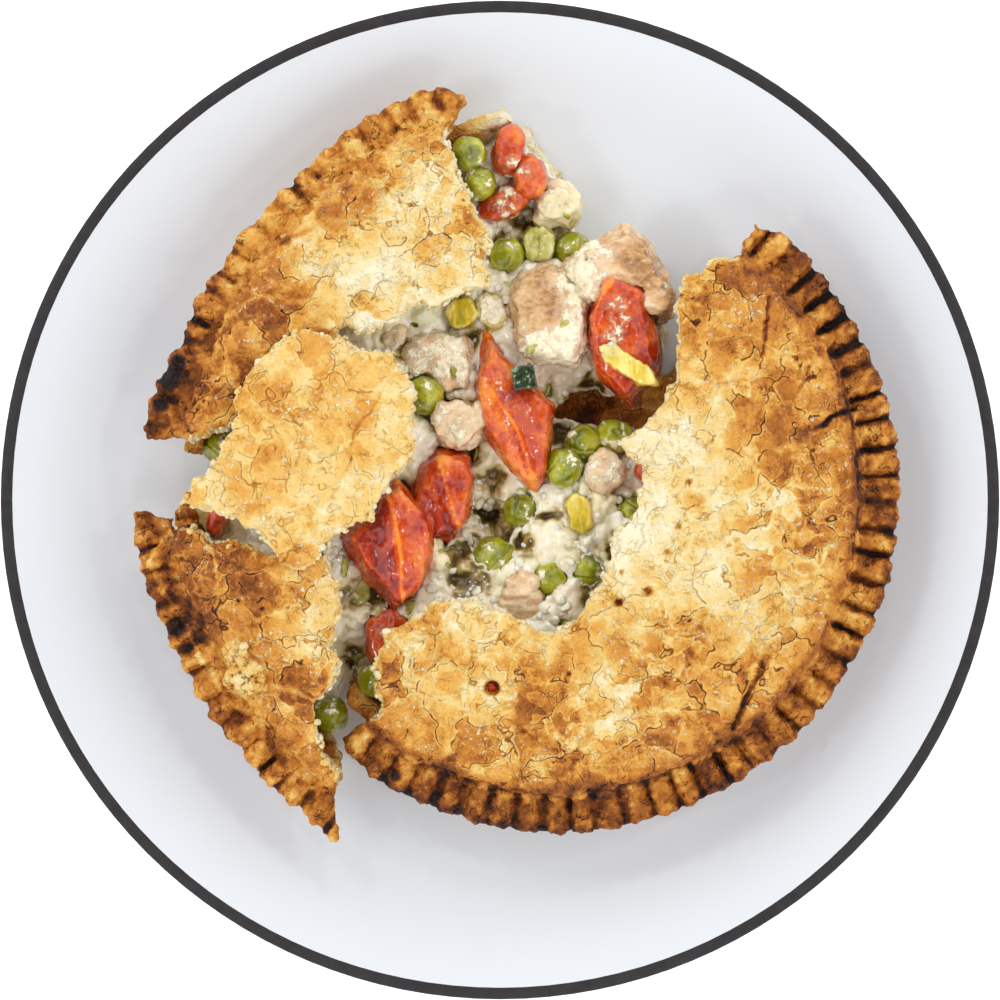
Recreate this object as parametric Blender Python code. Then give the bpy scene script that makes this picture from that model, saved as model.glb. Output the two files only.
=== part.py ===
"""A small chicken pot pie, broken open on its plate: three pieces of pastry case, a loose flake of lid, and the filling
between them. Metres, +Z up, origin under the middle of the plate at the surface that the plate stands on."""

import math

import bmesh
import bpy
from mathutils import Matrix, Vector, noise

MM = 0.001  # one millimetre
GAP = 0.4 * MM  # clearance between pieces that touch
NOISE_SEED = Vector((3.7, 1.9, 5.3))

# Plate
PLATE_RADIUS = 114.6 * MM
PLATE_SEGMENTS = 36
FLOOR_Z = 6.5 * MM  # top of the flat well, on which the pie lies
FOOT_RADIUS = 60.5 * MM

# Pastry case. A section is given by the distance in from the rim's edge and the height above the plate's floor.
RIM_WIDTH = 8.4 * MM
CRIMP_PITCH = 6.5 * MM  # one fork tine
CRIMP_DEPTH = 1.8 * MM
CRIMP_BITE = 1.0 * MM  # how far a groove draws the rim's edge in
RIDGE_SHARE = 0.62  # the share of the pitch that stays ridge
RIM_TOP = 21.4 * MM
WALL_FOOT = 14.4 * MM
LINING = 17.8 * MM  # where the filling's side stands inside the wall
CRUST = 3.2 * MM
BASE_LIFT = 0.3 * MM
TEAR_SPLIT = 15.0 * MM  # the lid is torn along one line above this height and the base along another below it
LID_WAVE = 1.1 * MM
FOLD_TIP = (54.0 * MM, -55.0 * MM)
FOLD_AXIS = (math.cos(math.radians(58)), math.sin(math.radians(58)))
FOLD_LENGTH = 36.0 * MM
FOLD_HALF_WIDTH = 6.5 * MM
FOLD_RISE = 3.2 * MM
LID_WAVE_LENGTH = 24.0 * MM

# Filling
HEAP_CELL = 11.0 * MM
HEAP_TOP = 19.5 * MM  # under the lids the filling has settled flat
HEAP_EDGE = 5.0 * MM
HEAP_SLOPE = 1.5
HEAP_WAVE = 2.0 * MM
HEAP_WAVE_LENGTH = 10.0 * MM

PASTRY = ((0.62, 0.38, 0.15), 0.75)
PALE_PASTRY = ((0.80, 0.62, 0.34), 0.80)
SAUCE = ((0.74, 0.66, 0.50), 0.35)
CARROT = ((0.75, 0.19, 0.03), 0.35)
PEA = ((0.28, 0.33, 0.03), 0.30)
CHICKEN = ((0.72, 0.50, 0.34), 0.45)
CELERY = ((0.52, 0.45, 0.08), 0.35)
COURGETTE = ((0.09, 0.12, 0.03), 0.40)
GLAZE = ((0.86, 0.87, 0.88), 0.12)


def clear_scene():
    for old in list(bpy.data.objects):
        bpy.data.objects.remove(old)


def material(name, look):
    """One Principled material for each kind of food, made once and shared."""
    found = bpy.data.materials.get(name)
    if found:
        return found
    made = bpy.data.materials.new(name)
    made.use_nodes = True
    shader = made.node_tree.nodes["Principled BSDF"]
    colour, roughness = look
    shader.inputs["Base Color"].default_value = (*colour, 1.0)
    shader.inputs["Roughness"].default_value = roughness
    shader.inputs["Metallic"].default_value = 0.0
    return made


def add_object(name, bm, paint):
    bmesh.ops.recalc_face_normals(bm, faces=bm.faces)
    mesh = bpy.data.meshes.new(name)
    bm.to_mesh(mesh)
    bm.free()
    obj = bpy.data.objects.new(name, mesh)
    obj.data.materials.append(paint)
    bpy.context.scene.collection.objects.link(obj)
    return obj


def on_circle(centre, radius, degrees):
    turn = math.radians(degrees)
    return centre[0] + radius * math.cos(turn), centre[1] + radius * math.sin(turn)


def arc(centre, radius, start, stop, step=6.0):
    """Points along a circle from one angle to another, in degrees."""
    count = max(2, round(abs(stop - start) / step))
    return [on_circle(centre, radius, start + (stop - start) * i / count) for i in range(count + 1)]


def metres(points):
    return [(x * MM, y * MM) for x, y in points]


def wave(x, y, length, height):
    return height * noise.noise(Vector((x / length, y / length, 0.0)) + NOISE_SEED)


# ---- Booleans on meshes ----


def cut(obj, other, operation="DIFFERENCE"):
    """Applies a Boolean with another shape, which stays as it is. The exact solver loses the pastry cases whole,
    so this is the manifold one."""
    modifier = obj.modifiers.new("cut", "BOOLEAN")
    modifier.object = other
    modifier.operation = operation
    modifier.solver = "MANIFOLD"
    graph = bpy.context.evaluated_depsgraph_get()
    made = bpy.data.meshes.new_from_object(obj.evaluated_get(graph))
    obj.modifiers.clear()
    obj.data = made


def cut_with(obj, other, operation="DIFFERENCE"):
    """The same with a shape that isn't wanted afterwards."""
    cut(obj, other, operation)
    bpy.data.objects.remove(other)


def fattened(obj, by=GAP):
    """A copy of a simple solid, grown evenly by the gap, to cut its neighbours back with."""
    bm = bmesh.new()
    bm.from_mesh(obj.data)
    bm.normal_update()
    moves = [v.normal * by * min(v.calc_shell_factor(), 1.6) for v in bm.verts]
    for vert, move in zip(bm.verts, moves):
        vert.co += move
    return add_object(obj.name + "_fat", bm, obj.data.materials[0])


def outset(points, by):
    """A closed outline moved outward by a distance, whichever way round it runs."""
    pairs = list(zip(points, points[1:] + points[:1]))
    area = sum(a[0] * b[1] - b[0] * a[1] for a, b in pairs)
    sense = math.copysign(1.0, area)
    moved = []
    for before, here, after in zip(points[-1:] + points[:-1], points, points[1:] + points[:1]):
        first = (Vector(here) - Vector(before)).normalized()
        second = (Vector(after) - Vector(here)).normalized()
        normal = Vector((first.y + second.y, -first.x - second.x)).normalized() * sense
        mitre = 1 / max(0.6, normal.dot(Vector((first.y, -first.x)) * sense))
        moved.append((here[0] + normal.x * by * mitre, here[1] + normal.y * by * mitre))
    return moved


def keep_largest(obj):
    """Drops loose crumbs that a cut has split off, and joins the facets that lie in one plane."""
    bm = bmesh.new()
    bm.from_mesh(obj.data)
    left = set(bm.verts)
    groups = []
    while left:
        group = {left.pop()}
        edge = list(group)
        while edge:
            near = {e.other_vert(v) for v in edge for e in v.link_edges} - group
            group |= near
            edge = list(near)
        left -= group
        groups.append(group)
    groups.sort(key=len)
    for group in groups[:-1]:
        bmesh.ops.delete(bm, geom=list(group), context="VERTS")
    bmesh.ops.dissolve_limit(bm, angle_limit=math.radians(3.0), verts=bm.verts, edges=bm.edges)
    bmesh.ops.triangulate(bm, faces=bm.faces)
    bm.to_mesh(obj.data)
    bm.free()


def box_of(obj):
    points = [v.co for v in obj.data.vertices]
    low = Vector([min(p[i] for p in points) for i in range(3)])
    high = Vector([max(p[i] for p in points) for i in range(3)])
    return low, high


def near(first, second):
    low_a, high_a = box_of(first)
    low_b, high_b = box_of(second)
    return all(low_a[i] < high_b[i] and low_b[i] < high_a[i] for i in range(3))


def trim(obj, cutters):
    """Cuts a solid back from every neighbour that it reaches, leaving the gap."""
    for cutter in cutters:
        if near(obj, cutter):
            cut(obj, cutter)
    keep_largest(obj)


def prism(name, outline, low, high, paint):
    bm = bmesh.new()
    face = bm.faces.new([bm.verts.new((x, y, low)) for x, y in outline])
    raised = bmesh.ops.extrude_face_region(bm, geom=[face])
    tops = [item for item in raised["geom"] if isinstance(item, bmesh.types.BMVert)]
    bmesh.ops.translate(bm, verts=tops, vec=(0, 0, high - low))
    return add_object(name, bm, paint)


# ---- Plate ----

PLATE_SECTION = metres([
    (0.01, 6.5), (86, 6.5), (91, 7.3), (97, 9.4), (104, 12.7), (109.5, 15.4), (112.6, 16.9), (113.8, 17.5),
    (114.6, 16.6), (113.6, 15.2), (107, 11.4), (98, 6.7), (89, 3.4), (64, 2.5), (62.6, 0.3), (61.9, 0.0),
    (59.1, 0.0), (58.4, 0.3), (57.0, 2.5), (0.01, 2.5),
])  # radius and height, from the middle of the top to the middle of the underside


def make_plate():
    bm = bmesh.new()
    profile = [bm.verts.new((radius, 0, height)) for radius, height in PLATE_SECTION]
    edges = [bm.edges.new(pair) for pair in zip(profile, profile[1:])]
    bmesh.ops.spin(
        bm, geom=profile + edges, cent=(0, 0, 0), axis=(0, 0, 1), angle=math.tau, steps=PLATE_SEGMENTS,
        use_merge=True,
    )
    bmesh.ops.remove_doubles(bm, verts=bm.verts, dist=0.05 * MM)
    plate = add_object("plate", bm, material("glaze", GLAZE))
    plate.data.shade_smooth()
    plate.data.set_sharp_from_angle(angle=math.radians(40))
    return plate


# ---- Pastry case ----

# Distance in from the rim's edge, height above the floor, and whether the fork has crimped that row.
RIM_ROWS = [(1.2, 17.8, False), (0.0, 19.2, True), (0.8, 21.2, True), (8.4, 21.4, True)]
LID_TOP = [(9.2, 24.8), (11.0, 26.2), (15.0, 27.8), (22.0, 29.1), (45.0, 31.0)]
LID_UNDER = [(45.0, 27.8), (18.0, 25.0), (13.5, 21.5)]
LINING_ROWS = [(13.3, 18.0), (16.8, 3.5)]
WALL_ROWS = [(10.0, 15.3), (7.6, 17.1)]


def case_section(depth, grow):
    """The case's section as a closed C, open towards the middle of the pie, to a depth in from the rim."""
    last = depth / MM
    base_top = (CRUST + BASE_LIFT) / MM
    rows = LID_TOP + [(last, 31.4), (last, 28.2)] + LID_UNDER + LINING_ROWS
    rows += [(last, base_top), (last, BASE_LIFT / MM), (WALL_FOOT / MM, BASE_LIFT / MM)] + WALL_ROWS
    crimped = [row[2] for row in RIM_ROWS] + [False] * len(rows)
    outline = metres([row[:2] for row in RIM_ROWS] + rows)
    return [(*point, flag) for point, flag in zip(outset(outline, grow), crimped)]


def lid_lift(x, y):
    """The lid's gentle waves, and the leaf that stands up where it was lapped over itself at the lower right."""
    along = (Vector((x, y)) - Vector(FOLD_TIP)).dot(Vector(FOLD_AXIS))
    across = (Vector((x, y)) - Vector(FOLD_TIP)).cross(Vector(FOLD_AXIS))
    share = along / FOLD_LENGTH
    lift = 0.0
    if 0 < share < 1:
        lift = FOLD_RISE * math.sin(math.pi * share) * math.exp(-((across / FOLD_HALF_WIDTH) ** 4))
    return lift + wave(x, y, LID_WAVE_LENGTH, LID_WAVE)


def sweep_case(name, centre, radius, first, last, depth, grow):
    """The section swept round the rim from one angle to another, pinched by the fork at every pitch.
    Rows that aren't crimped have a vertex at every third column only."""
    section = case_section(depth, grow)
    crimps = round(math.radians(last - first) * radius / CRIMP_PITCH)
    pitch = (last - first) / crimps
    phases = (0.0, RIDGE_SHARE, (1 + RIDGE_SHARE) / 2)  # a ridge from the first to the second, a groove at the third
    bm = bmesh.new()
    rows = [[] for point in section]
    for column in range(3 * crimps + 1):
        angle = first + pitch * (column // 3 + phases[column % 3])
        groove = column % 3 == 2
        for row, (inward, height, crimped) in zip(rows, section):
            if column % 3 and not crimped:
                continue
            if groove:
                inward += CRIMP_BITE * (1 - inward / RIM_WIDTH)
                height -= CRIMP_DEPTH if height > 20 * MM else 0
            x, y = on_circle(centre, radius - inward, angle)
            if height > 23 * MM:
                height += lid_lift(x, y) * min(1, inward / (14 * MM))
            row.append(bm.verts.new((x, y, FLOOR_Z + height)))
    for row, following in zip(rows, rows[1:] + rows[:1]):
        for crimp in range(crimps):
            first_side = row[3 * crimp:3 * crimp + 4] if len(row) > crimps + 1 else row[crimp:crimp + 2]
            other_side = following[3 * crimp:3 * crimp + 4] if len(following) > crimps + 1 else following[crimp:crimp + 2]
            if len(first_side) == len(other_side):
                for i in range(len(first_side) - 1):
                    bm.faces.new((first_side[i], first_side[i + 1], other_side[i + 1], other_side[i]))
            else:
                bm.faces.new(first_side + other_side[::-1])
    bm.faces.new([row[0] for row in rows])
    bm.faces.new([row[-1] for row in reversed(rows)])
    bmesh.ops.triangulate(bm, faces=bm.faces)
    return add_object(name, bm, material("pastry", PASTRY))


def make_case(name, sweep, lid_tear, base_tear, beyond, grow=0.0):
    """One broken piece of the case. Its lid is torn along one line and its base and wall along another, and
    all that lies beyond them is cut away."""
    centre, radius, first, last, depth = sweep
    case = sweep_case(name, centre, radius, first, last, depth, grow)
    paint = case.data.materials[0]
    split = FLOOR_Z + TEAR_SPLIT
    cut_with(case, prism("above", outset(metres(lid_tear + beyond), -grow), split + grow, split + 40 * MM, paint))
    cut_with(case, prism("below", outset(metres(base_tear + beyond), -grow), -10 * MM, split + MM - grow, paint))
    keep_largest(case)
    return case


# The largest piece, most of the right half of the pie.
RIGHT_CENTRE = metres([(13.0, 2.1)])[0]
RIGHT_RADIUS = 78.4 * MM
RIGHT_SWEEP = (RIGHT_CENTRE, RIGHT_RADIUS, -144, 118, 70 * MM)
RIGHT_LID_TEAR = [
    (61.0, 69.0), (59.1, 62.6), (55.2, 58.7), (55.0, 54.7), (52.4, 54.4), (48.5, 54.9), (46.0, 51.1), (42.1, 50.6),
    (39.8, 44.9), (40.5, 38.0), (41.4, 34.5), (40.3, 26.5), (35.7, 20.7), (32.2, 17.3), (28.1, 12.4), (30.4, 8.4),
    (34.6, 9.0), (32.2, 5.2), (30.0, -3.5), (26.5, -8.1), (23.7, -15.2), (21.6, -20.9), (18.6, -26.0), (14.7, -29.7),
    (10.1, -29.9), (5.1, -27.6), (0.0, -24.4), (-5.3, -23.2), (-9.2, -22.8), (-15.6, -24.4), (-20.2, -27.6),
    (-25.8, -30.8), (-27.6, -35.7), (-27.8, -42.1), (-26.2, -48.8), (-31.7, -51.1), (-35.9, -54.7), (-34.5, -58.7),
    (-30.4, -61.6), (-32.2, -65.6), (-35.7, -69.0),
]
RIGHT_BASE_TEAR = [
    (61.0, 69.0), (59.0, 62.0), (54.8, 57.5), (52.5, 53.0), (47.5, 50.0), (44.5, 44.0), (43.0, 34.0), (38.5, 28.5),
    (25.0, 28.0), (14.0, 26.5), (10.0, 20.0), (13.5, 12.5), (24.0, 9.0), (33.0, 2.0), (31.0, -8.0), (27.0, -18.0),
    (22.0, -28.0), (14.0, -33.0), (4.0, -31.0),
    (-6.0, -27.0), (-16.0, -28.0), (-24.0, -30.5), (-31.7, -35.7), (-34.5, -42.6), (-35.2, -49.5), (-36.1, -55.2),
    (-35.0, -59.1), (-31.0, -61.8), (-32.5, -65.8), (-35.7, -69.0),
]

RIGHT_BEYOND = [(-35.7, -120.0), (-120.0, -120.0), (-120.0, 120.0), (61.0, 120.0)]

# The wedge of the upper left, whose rim has opened out flatter than the pie's own round.
UPPER_CENTRE = metres([(33.6, -13.4)])[0]
UPPER_RADIUS = 119.1 * MM
UPPER_SWEEP = (UPPER_CENTRE, UPPER_RADIUS, 97, 171, 62 * MM)
UPPER_LID_TEAR = [
    (-90.0, 14.0), (-81.7, 16.9), (-80.3, 13.9), (-76.6, 13.6), (-73.7, 14.7), (-70.0, 13.9), (-60.5, 16.9),
    (-59.7, 19.8), (-56.0, 24.0), (-50.0, 30.0), (-43.0, 36.0), (-37.7, 35.9), (-34.0, 41.8), (-33.0, 38.1),
    (-30.4, 37.8), (-22.3, 41.9), (-21.6, 44.4), (-12.1, 44.4), (-7.7, 47.7), (-4.4, 46.9), (-2.5, 48.8),
    (-4.0, 54.3), (-1.4, 58.0), (-6.2, 64.5), (-7.7, 69.7), (-10.6, 77.0), (-13.1, 82.5), (-12.1, 88.8),
    (-8.4, 90.9), (-8.6, 95.9), (-10.4, 100.0),
]
UPPER_BASE_TEAR = [
    (-90.0, 14.0), (-82.0, 16.2), (-78.0, 13.0), (-74.0, 10.8), (-68.0, 11.2), (-58.0, 18.0), (-44.0, 31.0),
    (-32.0, 35.0), (-20.0, 40.0), (-6.0, 44.0), (0.0, 52.0), (5.0, 58.0), (14.0, 61.0), (17.5, 66.0), (15.5, 72.0),
    (11.5, 78.0), (7.0, 84.5), (1.0, 88.0), (-6.0, 89.5), (-8.0, 95.0), (-10.4, 100.0),
]

UPPER_BEYOND = [(-10.4, 120.0), (120.0, 120.0), (120.0, -120.0), (-120.0, -120.0), (-120.0, 14.0)]

# The wedge of the lower left.
LOWER_CENTRE = metres([(35.4, 21.0)])[0]
LOWER_RADIUS = 123.2 * MM
LOWER_SWEEP = (LOWER_CENTRE, LOWER_RADIUS, 187, 238, 60 * MM)
LOWER_LID_TEAR = [
    (-35.7, -84.0), (-36.6, -77.3), (-38.0, -67.4), (-37.5, -61.6), (-40.3, -58.4), (-41.2, -52.7), (-42.8, -46.7),
    (-38.6, -42.3), (-36.1, -37.0), (-38.6, -33.3), (-37.7, -31.3), (-36.1, -23.9), (-38.6, -13.8), (-43.7, -11.0),
    (-48.3, -13.8), (-54.7, -12.0), (-60.0, -9.7), (-65.8, -9.2), (-67.6, -7.1), (-70.6, -6.9), (-74.5, -8.0),
    (-75.7, -4.4), (-78.2, -4.4), (-80.3, -2.1), (-83.5, -2.5), (-90.0, 2.5),
]
LOWER_BASE_TEAR = [
    (-35.7, -84.0), (-36.0, -77.0), (-37.0, -70.0), (-36.8, -61.0), (-38.8, -54.0), (-38.0, -46.0), (-35.5, -36.0),
    (-33.5, -24.0), (-36.0, -16.0), (-42.0, -10.0), (-50.0, -9.0), (-58.0, -6.0), (-66.0, -2.0), (-72.5, -1.0),
    (-73.8, -2.8), (-75.7, -4.2), (-78.0, -4.2), (-80.3, -2.0), (-83.5, -2.5), (-90.0, 2.5),
]


LOWER_BEYOND = [(-120.0, 2.5), (-120.0, 120.0), (120.0, 120.0), (120.0, -120.0), (-35.7, -120.0)]

FLAKE_OUTLINE = [
    (-42.7, 38.6), (-38.6, 35.7), (-34.5, 35.3), (-29.6, 33.7), (-23.8, 33.7), (-22.2, 30.0), (-19.3, 25.5),
    (-20.5, 21.4), (-19.3, 10.7), (-22.2, 6.6), (-25.1, 3.3), (-28.8, -2.5), (-35.3, -5.8), (-39.4, -9.0),
    (-42.7, -14.4), (-46.0, -15.6), (-50.1, -14.4), (-50.9, -10.7), (-55.9, -6.6), (-60.0, -4.9), (-64.1, -2.5),
    (-68.2, -2.1), (-72.3, -0.8), (-68.2, 4.1), (-64.1, 7.4), (-61.6, 13.1), (-59.1, 18.9), (-60.0, 22.2),
    (-58.0, 27.9), (-55.0, 31.2), (-50.1, 35.3), (-46.0, 37.4),
]
FLAKE_THICKNESS = 3.0 * MM
FLAKE_HEIGHT = 32.0 * MM  # of its underside above the floor, at its middle
FLAKE_MIDDLE = metres([(-42.0, 11.0)])[0]


def flake_underside(x, y):
    """The loose flake is a shallow dome that sags to its right, where only the filling holds it up."""
    dx, dy = x - FLAKE_MIDDLE[0], y - FLAKE_MIDDLE[1]
    crown = -(dx * dx + dy * dy) / 0.9
    sag = -0.10 * max(0.0, dx) - 0.04 * max(0.0, -dy - 10 * MM)
    return FLOOR_Z + FLAKE_HEIGHT + crown * 0.9 + sag + wave(x, y, 20 * MM, 0.9 * MM)


def make_flake(name, grow=0.0):
    """Cut from a grid of a few millimetres, so that it can curve."""
    bm = bmesh.new()
    bmesh.ops.create_grid(bm, x_segments=9, y_segments=9, size=32 * MM)
    bmesh.ops.translate(bm, vec=(FLAKE_MIDDLE[0] - 4 * MM, FLAKE_MIDDLE[1], 0), verts=bm.verts)
    raised = bmesh.ops.extrude_face_region(bm, geom=bm.faces[:])
    tops = [item for item in raised["geom"] if isinstance(item, bmesh.types.BMVert)]
    for vert in bm.verts:
        vert.co.z = flake_underside(vert.co.x, vert.co.y) - grow
    bmesh.ops.translate(bm, verts=tops, vec=(0, 0, FLAKE_THICKNESS + 2 * grow))
    flake = add_object(name, bm, material("pale_pastry", PALE_PASTRY))
    paint = flake.data.materials[0]
    cut_with(flake, prism("tear", outset(metres(FLAKE_OUTLINE), grow), FLOOR_Z, FLOOR_Z + 60 * MM, paint), "INTERSECT")
    keep_largest(flake)
    return flake


# ---- Pieces in the filling ----


def block(name, paint, outline, low, high, tilt=(0.0, 0.0), waist=0.82, lean=(0.0, 0.0)):
    """A cut piece seen from above: an outline in millimetres, drawn in towards its foot and its top, then tilted.
    low and high are heights above the floor in millimetres, tilt is rise per unit length along X and Y, and lean
    shifts the top, which gives a ridge or a slanting cut face."""
    middle = Vector([sum(p[i] for p in outline) / len(outline) for i in range(2)])
    rings = []
    bm = bmesh.new()
    for share, size, shift in ((0.0, waist, 0.0), (0.45, 1.0, 0.3), (1.0, waist, 1.0)):
        ring = []
        for point in outline:
            flat = middle + (Vector(point) - middle) * size + Vector(lean) * shift
            height = low + (high - low) * share
            height += tilt[0] * (flat.x - middle.x) + tilt[1] * (flat.y - middle.y)
            ring.append(bm.verts.new((flat.x * MM, flat.y * MM, FLOOR_Z + height * MM)))
        rings.append(ring)
    size = len(outline)
    for lower, upper in zip(rings, rings[1:]):
        for i in range(size):
            bm.faces.new((lower[i], lower[(i + 1) % size], upper[(i + 1) % size], upper[i]))
    bm.faces.new(rings[0])
    bm.faces.new(rings[-1])
    return add_object(name, bm, paint)


def oblong(x, y, width, length, turn, sides=8, power=0.75):
    """A rounded rectangle round a point, in millimetres, turned by some degrees."""
    spin = Matrix.Rotation(math.radians(turn), 2)
    points = []
    for i in range(sides):
        angle = math.tau * (i + 0.5) / sides
        across = math.copysign(abs(math.cos(angle)) ** power, math.cos(angle)) * width / 2
        along = math.copysign(abs(math.sin(angle)) ** power, math.sin(angle)) * length / 2
        turned = spin @ Vector((across, along))
        points.append((x + turned.x, y + turned.y))
    return points


def pea(name, x, y, top, radius, squash=0.92, tilt=0.0):
    bm = bmesh.new()
    bmesh.ops.create_icosphere(bm, subdivisions=2, radius=radius * MM)
    bmesh.ops.scale(bm, vec=(1.0, 1.0, squash), verts=bm.verts)
    bmesh.ops.rotate(bm, matrix=Matrix.Rotation(math.radians(tilt), 3, "X"), verts=bm.verts, cent=(0, 0, 0))
    bmesh.ops.translate(bm, vec=(x * MM, y * MM, FLOOR_Z + (top - radius * squash) * MM), verts=bm.verts)
    return add_object(name, bm, material("pea", PEA))


def pea_cutter(found):
    """A coarse ball with its facets just clear of the pea, since what it cuts is hidden under the pea."""
    low, high = box_of(found)
    bm = bmesh.new()
    bmesh.ops.create_icosphere(bm, subdivisions=1, radius=1.0)
    half = (high - low) / 2
    bmesh.ops.scale(bm, vec=[(size + GAP) * 1.27 for size in half], verts=bm.verts)
    bmesh.ops.translate(bm, vec=(low + high) / 2, verts=bm.verts)
    return add_object(found.name + "_fat", bm, found.data.materials[0])


# Outline in millimetres, foot and top heights above the floor, tilt, and lean.
CARROTS = [
    ([(25.1, 52.2), (33.8, 49.2), (36.3, 40.3), (37.7, 29.0), (30.6, 21.2), (22.8, 28.3), (20.2, 41.9)],
     11.0, 26.5, (-0.05, 0.04), (-1.5, 0.0)),
    ([(-3.4, 38.8), (2.3, 31.5), (8.0, 26.5), (12.2, 21.8), (12.0, 12.4), (10.8, 5.1), (8.0, 2.3), (3.5, 5.3),
      (-0.7, 10.4), (-3.9, 16.1), (-4.9, 23.0), (-5.3, 28.1)], 11.5, 22.8, (0.0, -0.03), (0.0, 0.0)),
    ([(-24.2, 3.9), (-37.8, -8.7), (-35.0, -13.6), (-24.6, -25.6), (-19.6, -22.6), (-15.7, -13.6), (-16.4, -4.8)],
     12.0, 26.0, (0.0, 0.03), (1.5, 1.0)),
    (oblong(-12.9, 0.9, 13.6, 22.5, -8, 9), 9.0, 20.5, (0.08, 0.04), (0.0, 0.0)),
    (oblong(-25.8, -31.4, 10.8, 15.4, 4, 8), 8.0, 18.5, (0.0, 0.05), (0.0, 0.0)),
    (oblong(2.0, 80.3, 5.6, 10.8, -6, 7), 11.5, 21.5, (0.0, 0.0), (0.0, 0.0)),
    (oblong(7.1, 73.8, 6.0, 9.8, 14, 7), 12.0, 20.5, (0.0, 0.0), (0.0, 0.0)),
    (oblong(0.4, 67.6, 12.8, 4.8, 20, 8), 11.0, 18.5, (0.1, 0.0), (0.0, 0.0)),
    (oblong(-65.0, -5.2, 4.0, 7.0, -8, 6), 9.0, 17.0, (0.0, 0.0), (0.0, 0.0)),
    (oblong(34.0, 6.6, 6.0, 8.0, 40, 6), 14.0, 22.8, (0.0, 0.0), (0.0, 0.0)),
]

# Place in millimetres, top above the floor, radius, flattening and tilt.
PEAS = [
    (-7.3, 78.9, 23.0, 4.1, 0.86, 10), (-4.7, 72.3, 22.5, 4.1, 0.92, -8), (1.5, 56.0, 18.5, 4.2, 0.95, 0),
    (16.6, 57.2, 15.5, 4.5, 0.90, 0), (14.5, 7.3, 24.0, 4.6, 0.95, 12), (19.0, 12.9, 19.5, 4.2, 0.92, 0),
    (26.2, 14.4, 18.5, 4.3, 0.95, 0), (4.8, -2.3, 17.5, 4.1, 0.95, 0), (-1.6, -13.0, 18.5, 5.0, 0.92, 15),
    (11.6, -17.9, 20.5, 4.1, 0.98, 0), (20.1, -16.0, 20.0, 4.4, 0.90, -15), (30.1, -2.9, 19.0, 4.0, 0.95, 0),
    (-17.4, 23.7, 21.5, 4.7, 0.90, 5), (-28.6, -41.3, 17.5, 4.2, 0.95, 0), (-39.0, -49.0, 14.5, 4.4, 0.92, 0),
    (-64.0, 12.0, 14.5, 4.0, 0.92, 0), (-19.7, 40.2, 17.0, 4.2, 0.95, 0), (15.2, -28.9, 19.5, 4.0, 0.92, 0),
    (26.6, -10.2, 17.0, 4.0, 0.95, 0),
]

CHICKEN_PIECES = [
    ([(1.5, 46.0), (4.5, 51.5), (12.0, 53.0), (18.5, 50.0), (21.0, 44.0), (19.5, 37.0), (17.0, 31.0), (8.5, 31.5),
      (3.0, 37.0)], 9.0, 23.5, (0.06, 0.05), (0.0, 0.0)),
    ([(14.6, 52.5), (21.0, 58.0), (28.6, 61.8), (34.0, 58.0), (38.4, 49.0), (39.4, 41.0), (33.0, 38.0), (22.0, 40.0),
      (16.0, 45.0)], 7.0, 25.0, (-0.05, 0.10), (1.0, 1.5)),
    (oblong(-13.8, 31.0, 16.5, 15.5, 20, 9), 7.0, 18.5, (0.0, 0.05), (0.0, 0.0)),
    (oblong(-10.2, 17.6, 12.4, 11.6, 10, 8), 9.0, 20.5, (0.0, 0.0), (0.0, 0.0)),
    (oblong(5.0, -22.2, 11.5, 14.0, -20, 8), 9.0, 19.5, (0.0, 0.0), (0.0, 0.0)),
    (oblong(23.4, 6.6, 10.0, 11.0, 25, 8), 9.0, 20.0, (0.0, 0.0), (0.0, 0.0)),
    (oblong(-25.6, 37.3, 8.0, 6.4, 10, 7), 9.0, 18.0, (0.0, 0.0), (0.0, 0.0)),
    (oblong(-4.6, 19.0, 5.4, 6.6, -25, 6), 14.0, 20.5, (0.0, 0.0), (0.0, 0.0)),
]

GREENS = [
    ("courgette_1", COURGETTE, oblong(5.4, 27.8, 7.4, 7.4, 8, 4, 1.0), 22.0, 27.6, (0.05, 0.0), 1.0),
    ("celery_1", CELERY, oblong(18.1, -3.1, 6.0, 10.2, 12, 6), 15.5, 21.0, (0.0, -0.1), 0.9),
    ("celery_2", CELERY, oblong(29.0, 30.6, 5.2, 17.0, 57, 6), 24.5, 29.0, (0.0, 0.0), 0.86),
    ("celery_3", CELERY, oblong(-8.7, 42.6, 7.6, 7.4, 30, 6), 14.0, 19.5, (0.1, 0.0), 0.9),
    ("celery_4", CELERY, oblong(-2.1, 43.2, 6.2, 10.0, 25, 7), 12.0, 18.0, (0.0, 0.0), 0.85),
    ("leek_1", CELERY, oblong(8.9, 58.6, 8.0, 9.2, 5, 8), 8.0, 16.5, (0.0, 0.0), 0.85),
    ("leek_2", CELERY, oblong(13.8, -8.4, 7.0, 9.0, 35, 7), 9.0, 16.0, (0.0, 0.0), 0.85),
    ("leek_3", CELERY, oblong(-18.6, 8.4, 6.0, 8.4, -15, 7), 8.0, 15.0, (0.0, 0.0), 0.85),
    ("leek_4", CELERY, oblong(-33.6, -22.6, 8.0, 13.0, -20, 8), 8.0, 16.5, (0.0, 0.0), 0.85),
    ("potato_1", SAUCE, oblong(12.3, 67.4, 10.0, 9.0, 20, 8), 8.0, 18.0, (0.0, 0.0), 0.82),
    ("potato_2", SAUCE, oblong(24.6, -2.2, 7.8, 8.0, 0, 8), 9.0, 18.0, (0.0, 0.0), 0.82),
    ("potato_3", SAUCE, oblong(-15.4, -12.0, 6.4, 7.6, 15, 7), 12.0, 20.0, (0.0, 0.0), 0.82),
]


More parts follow.
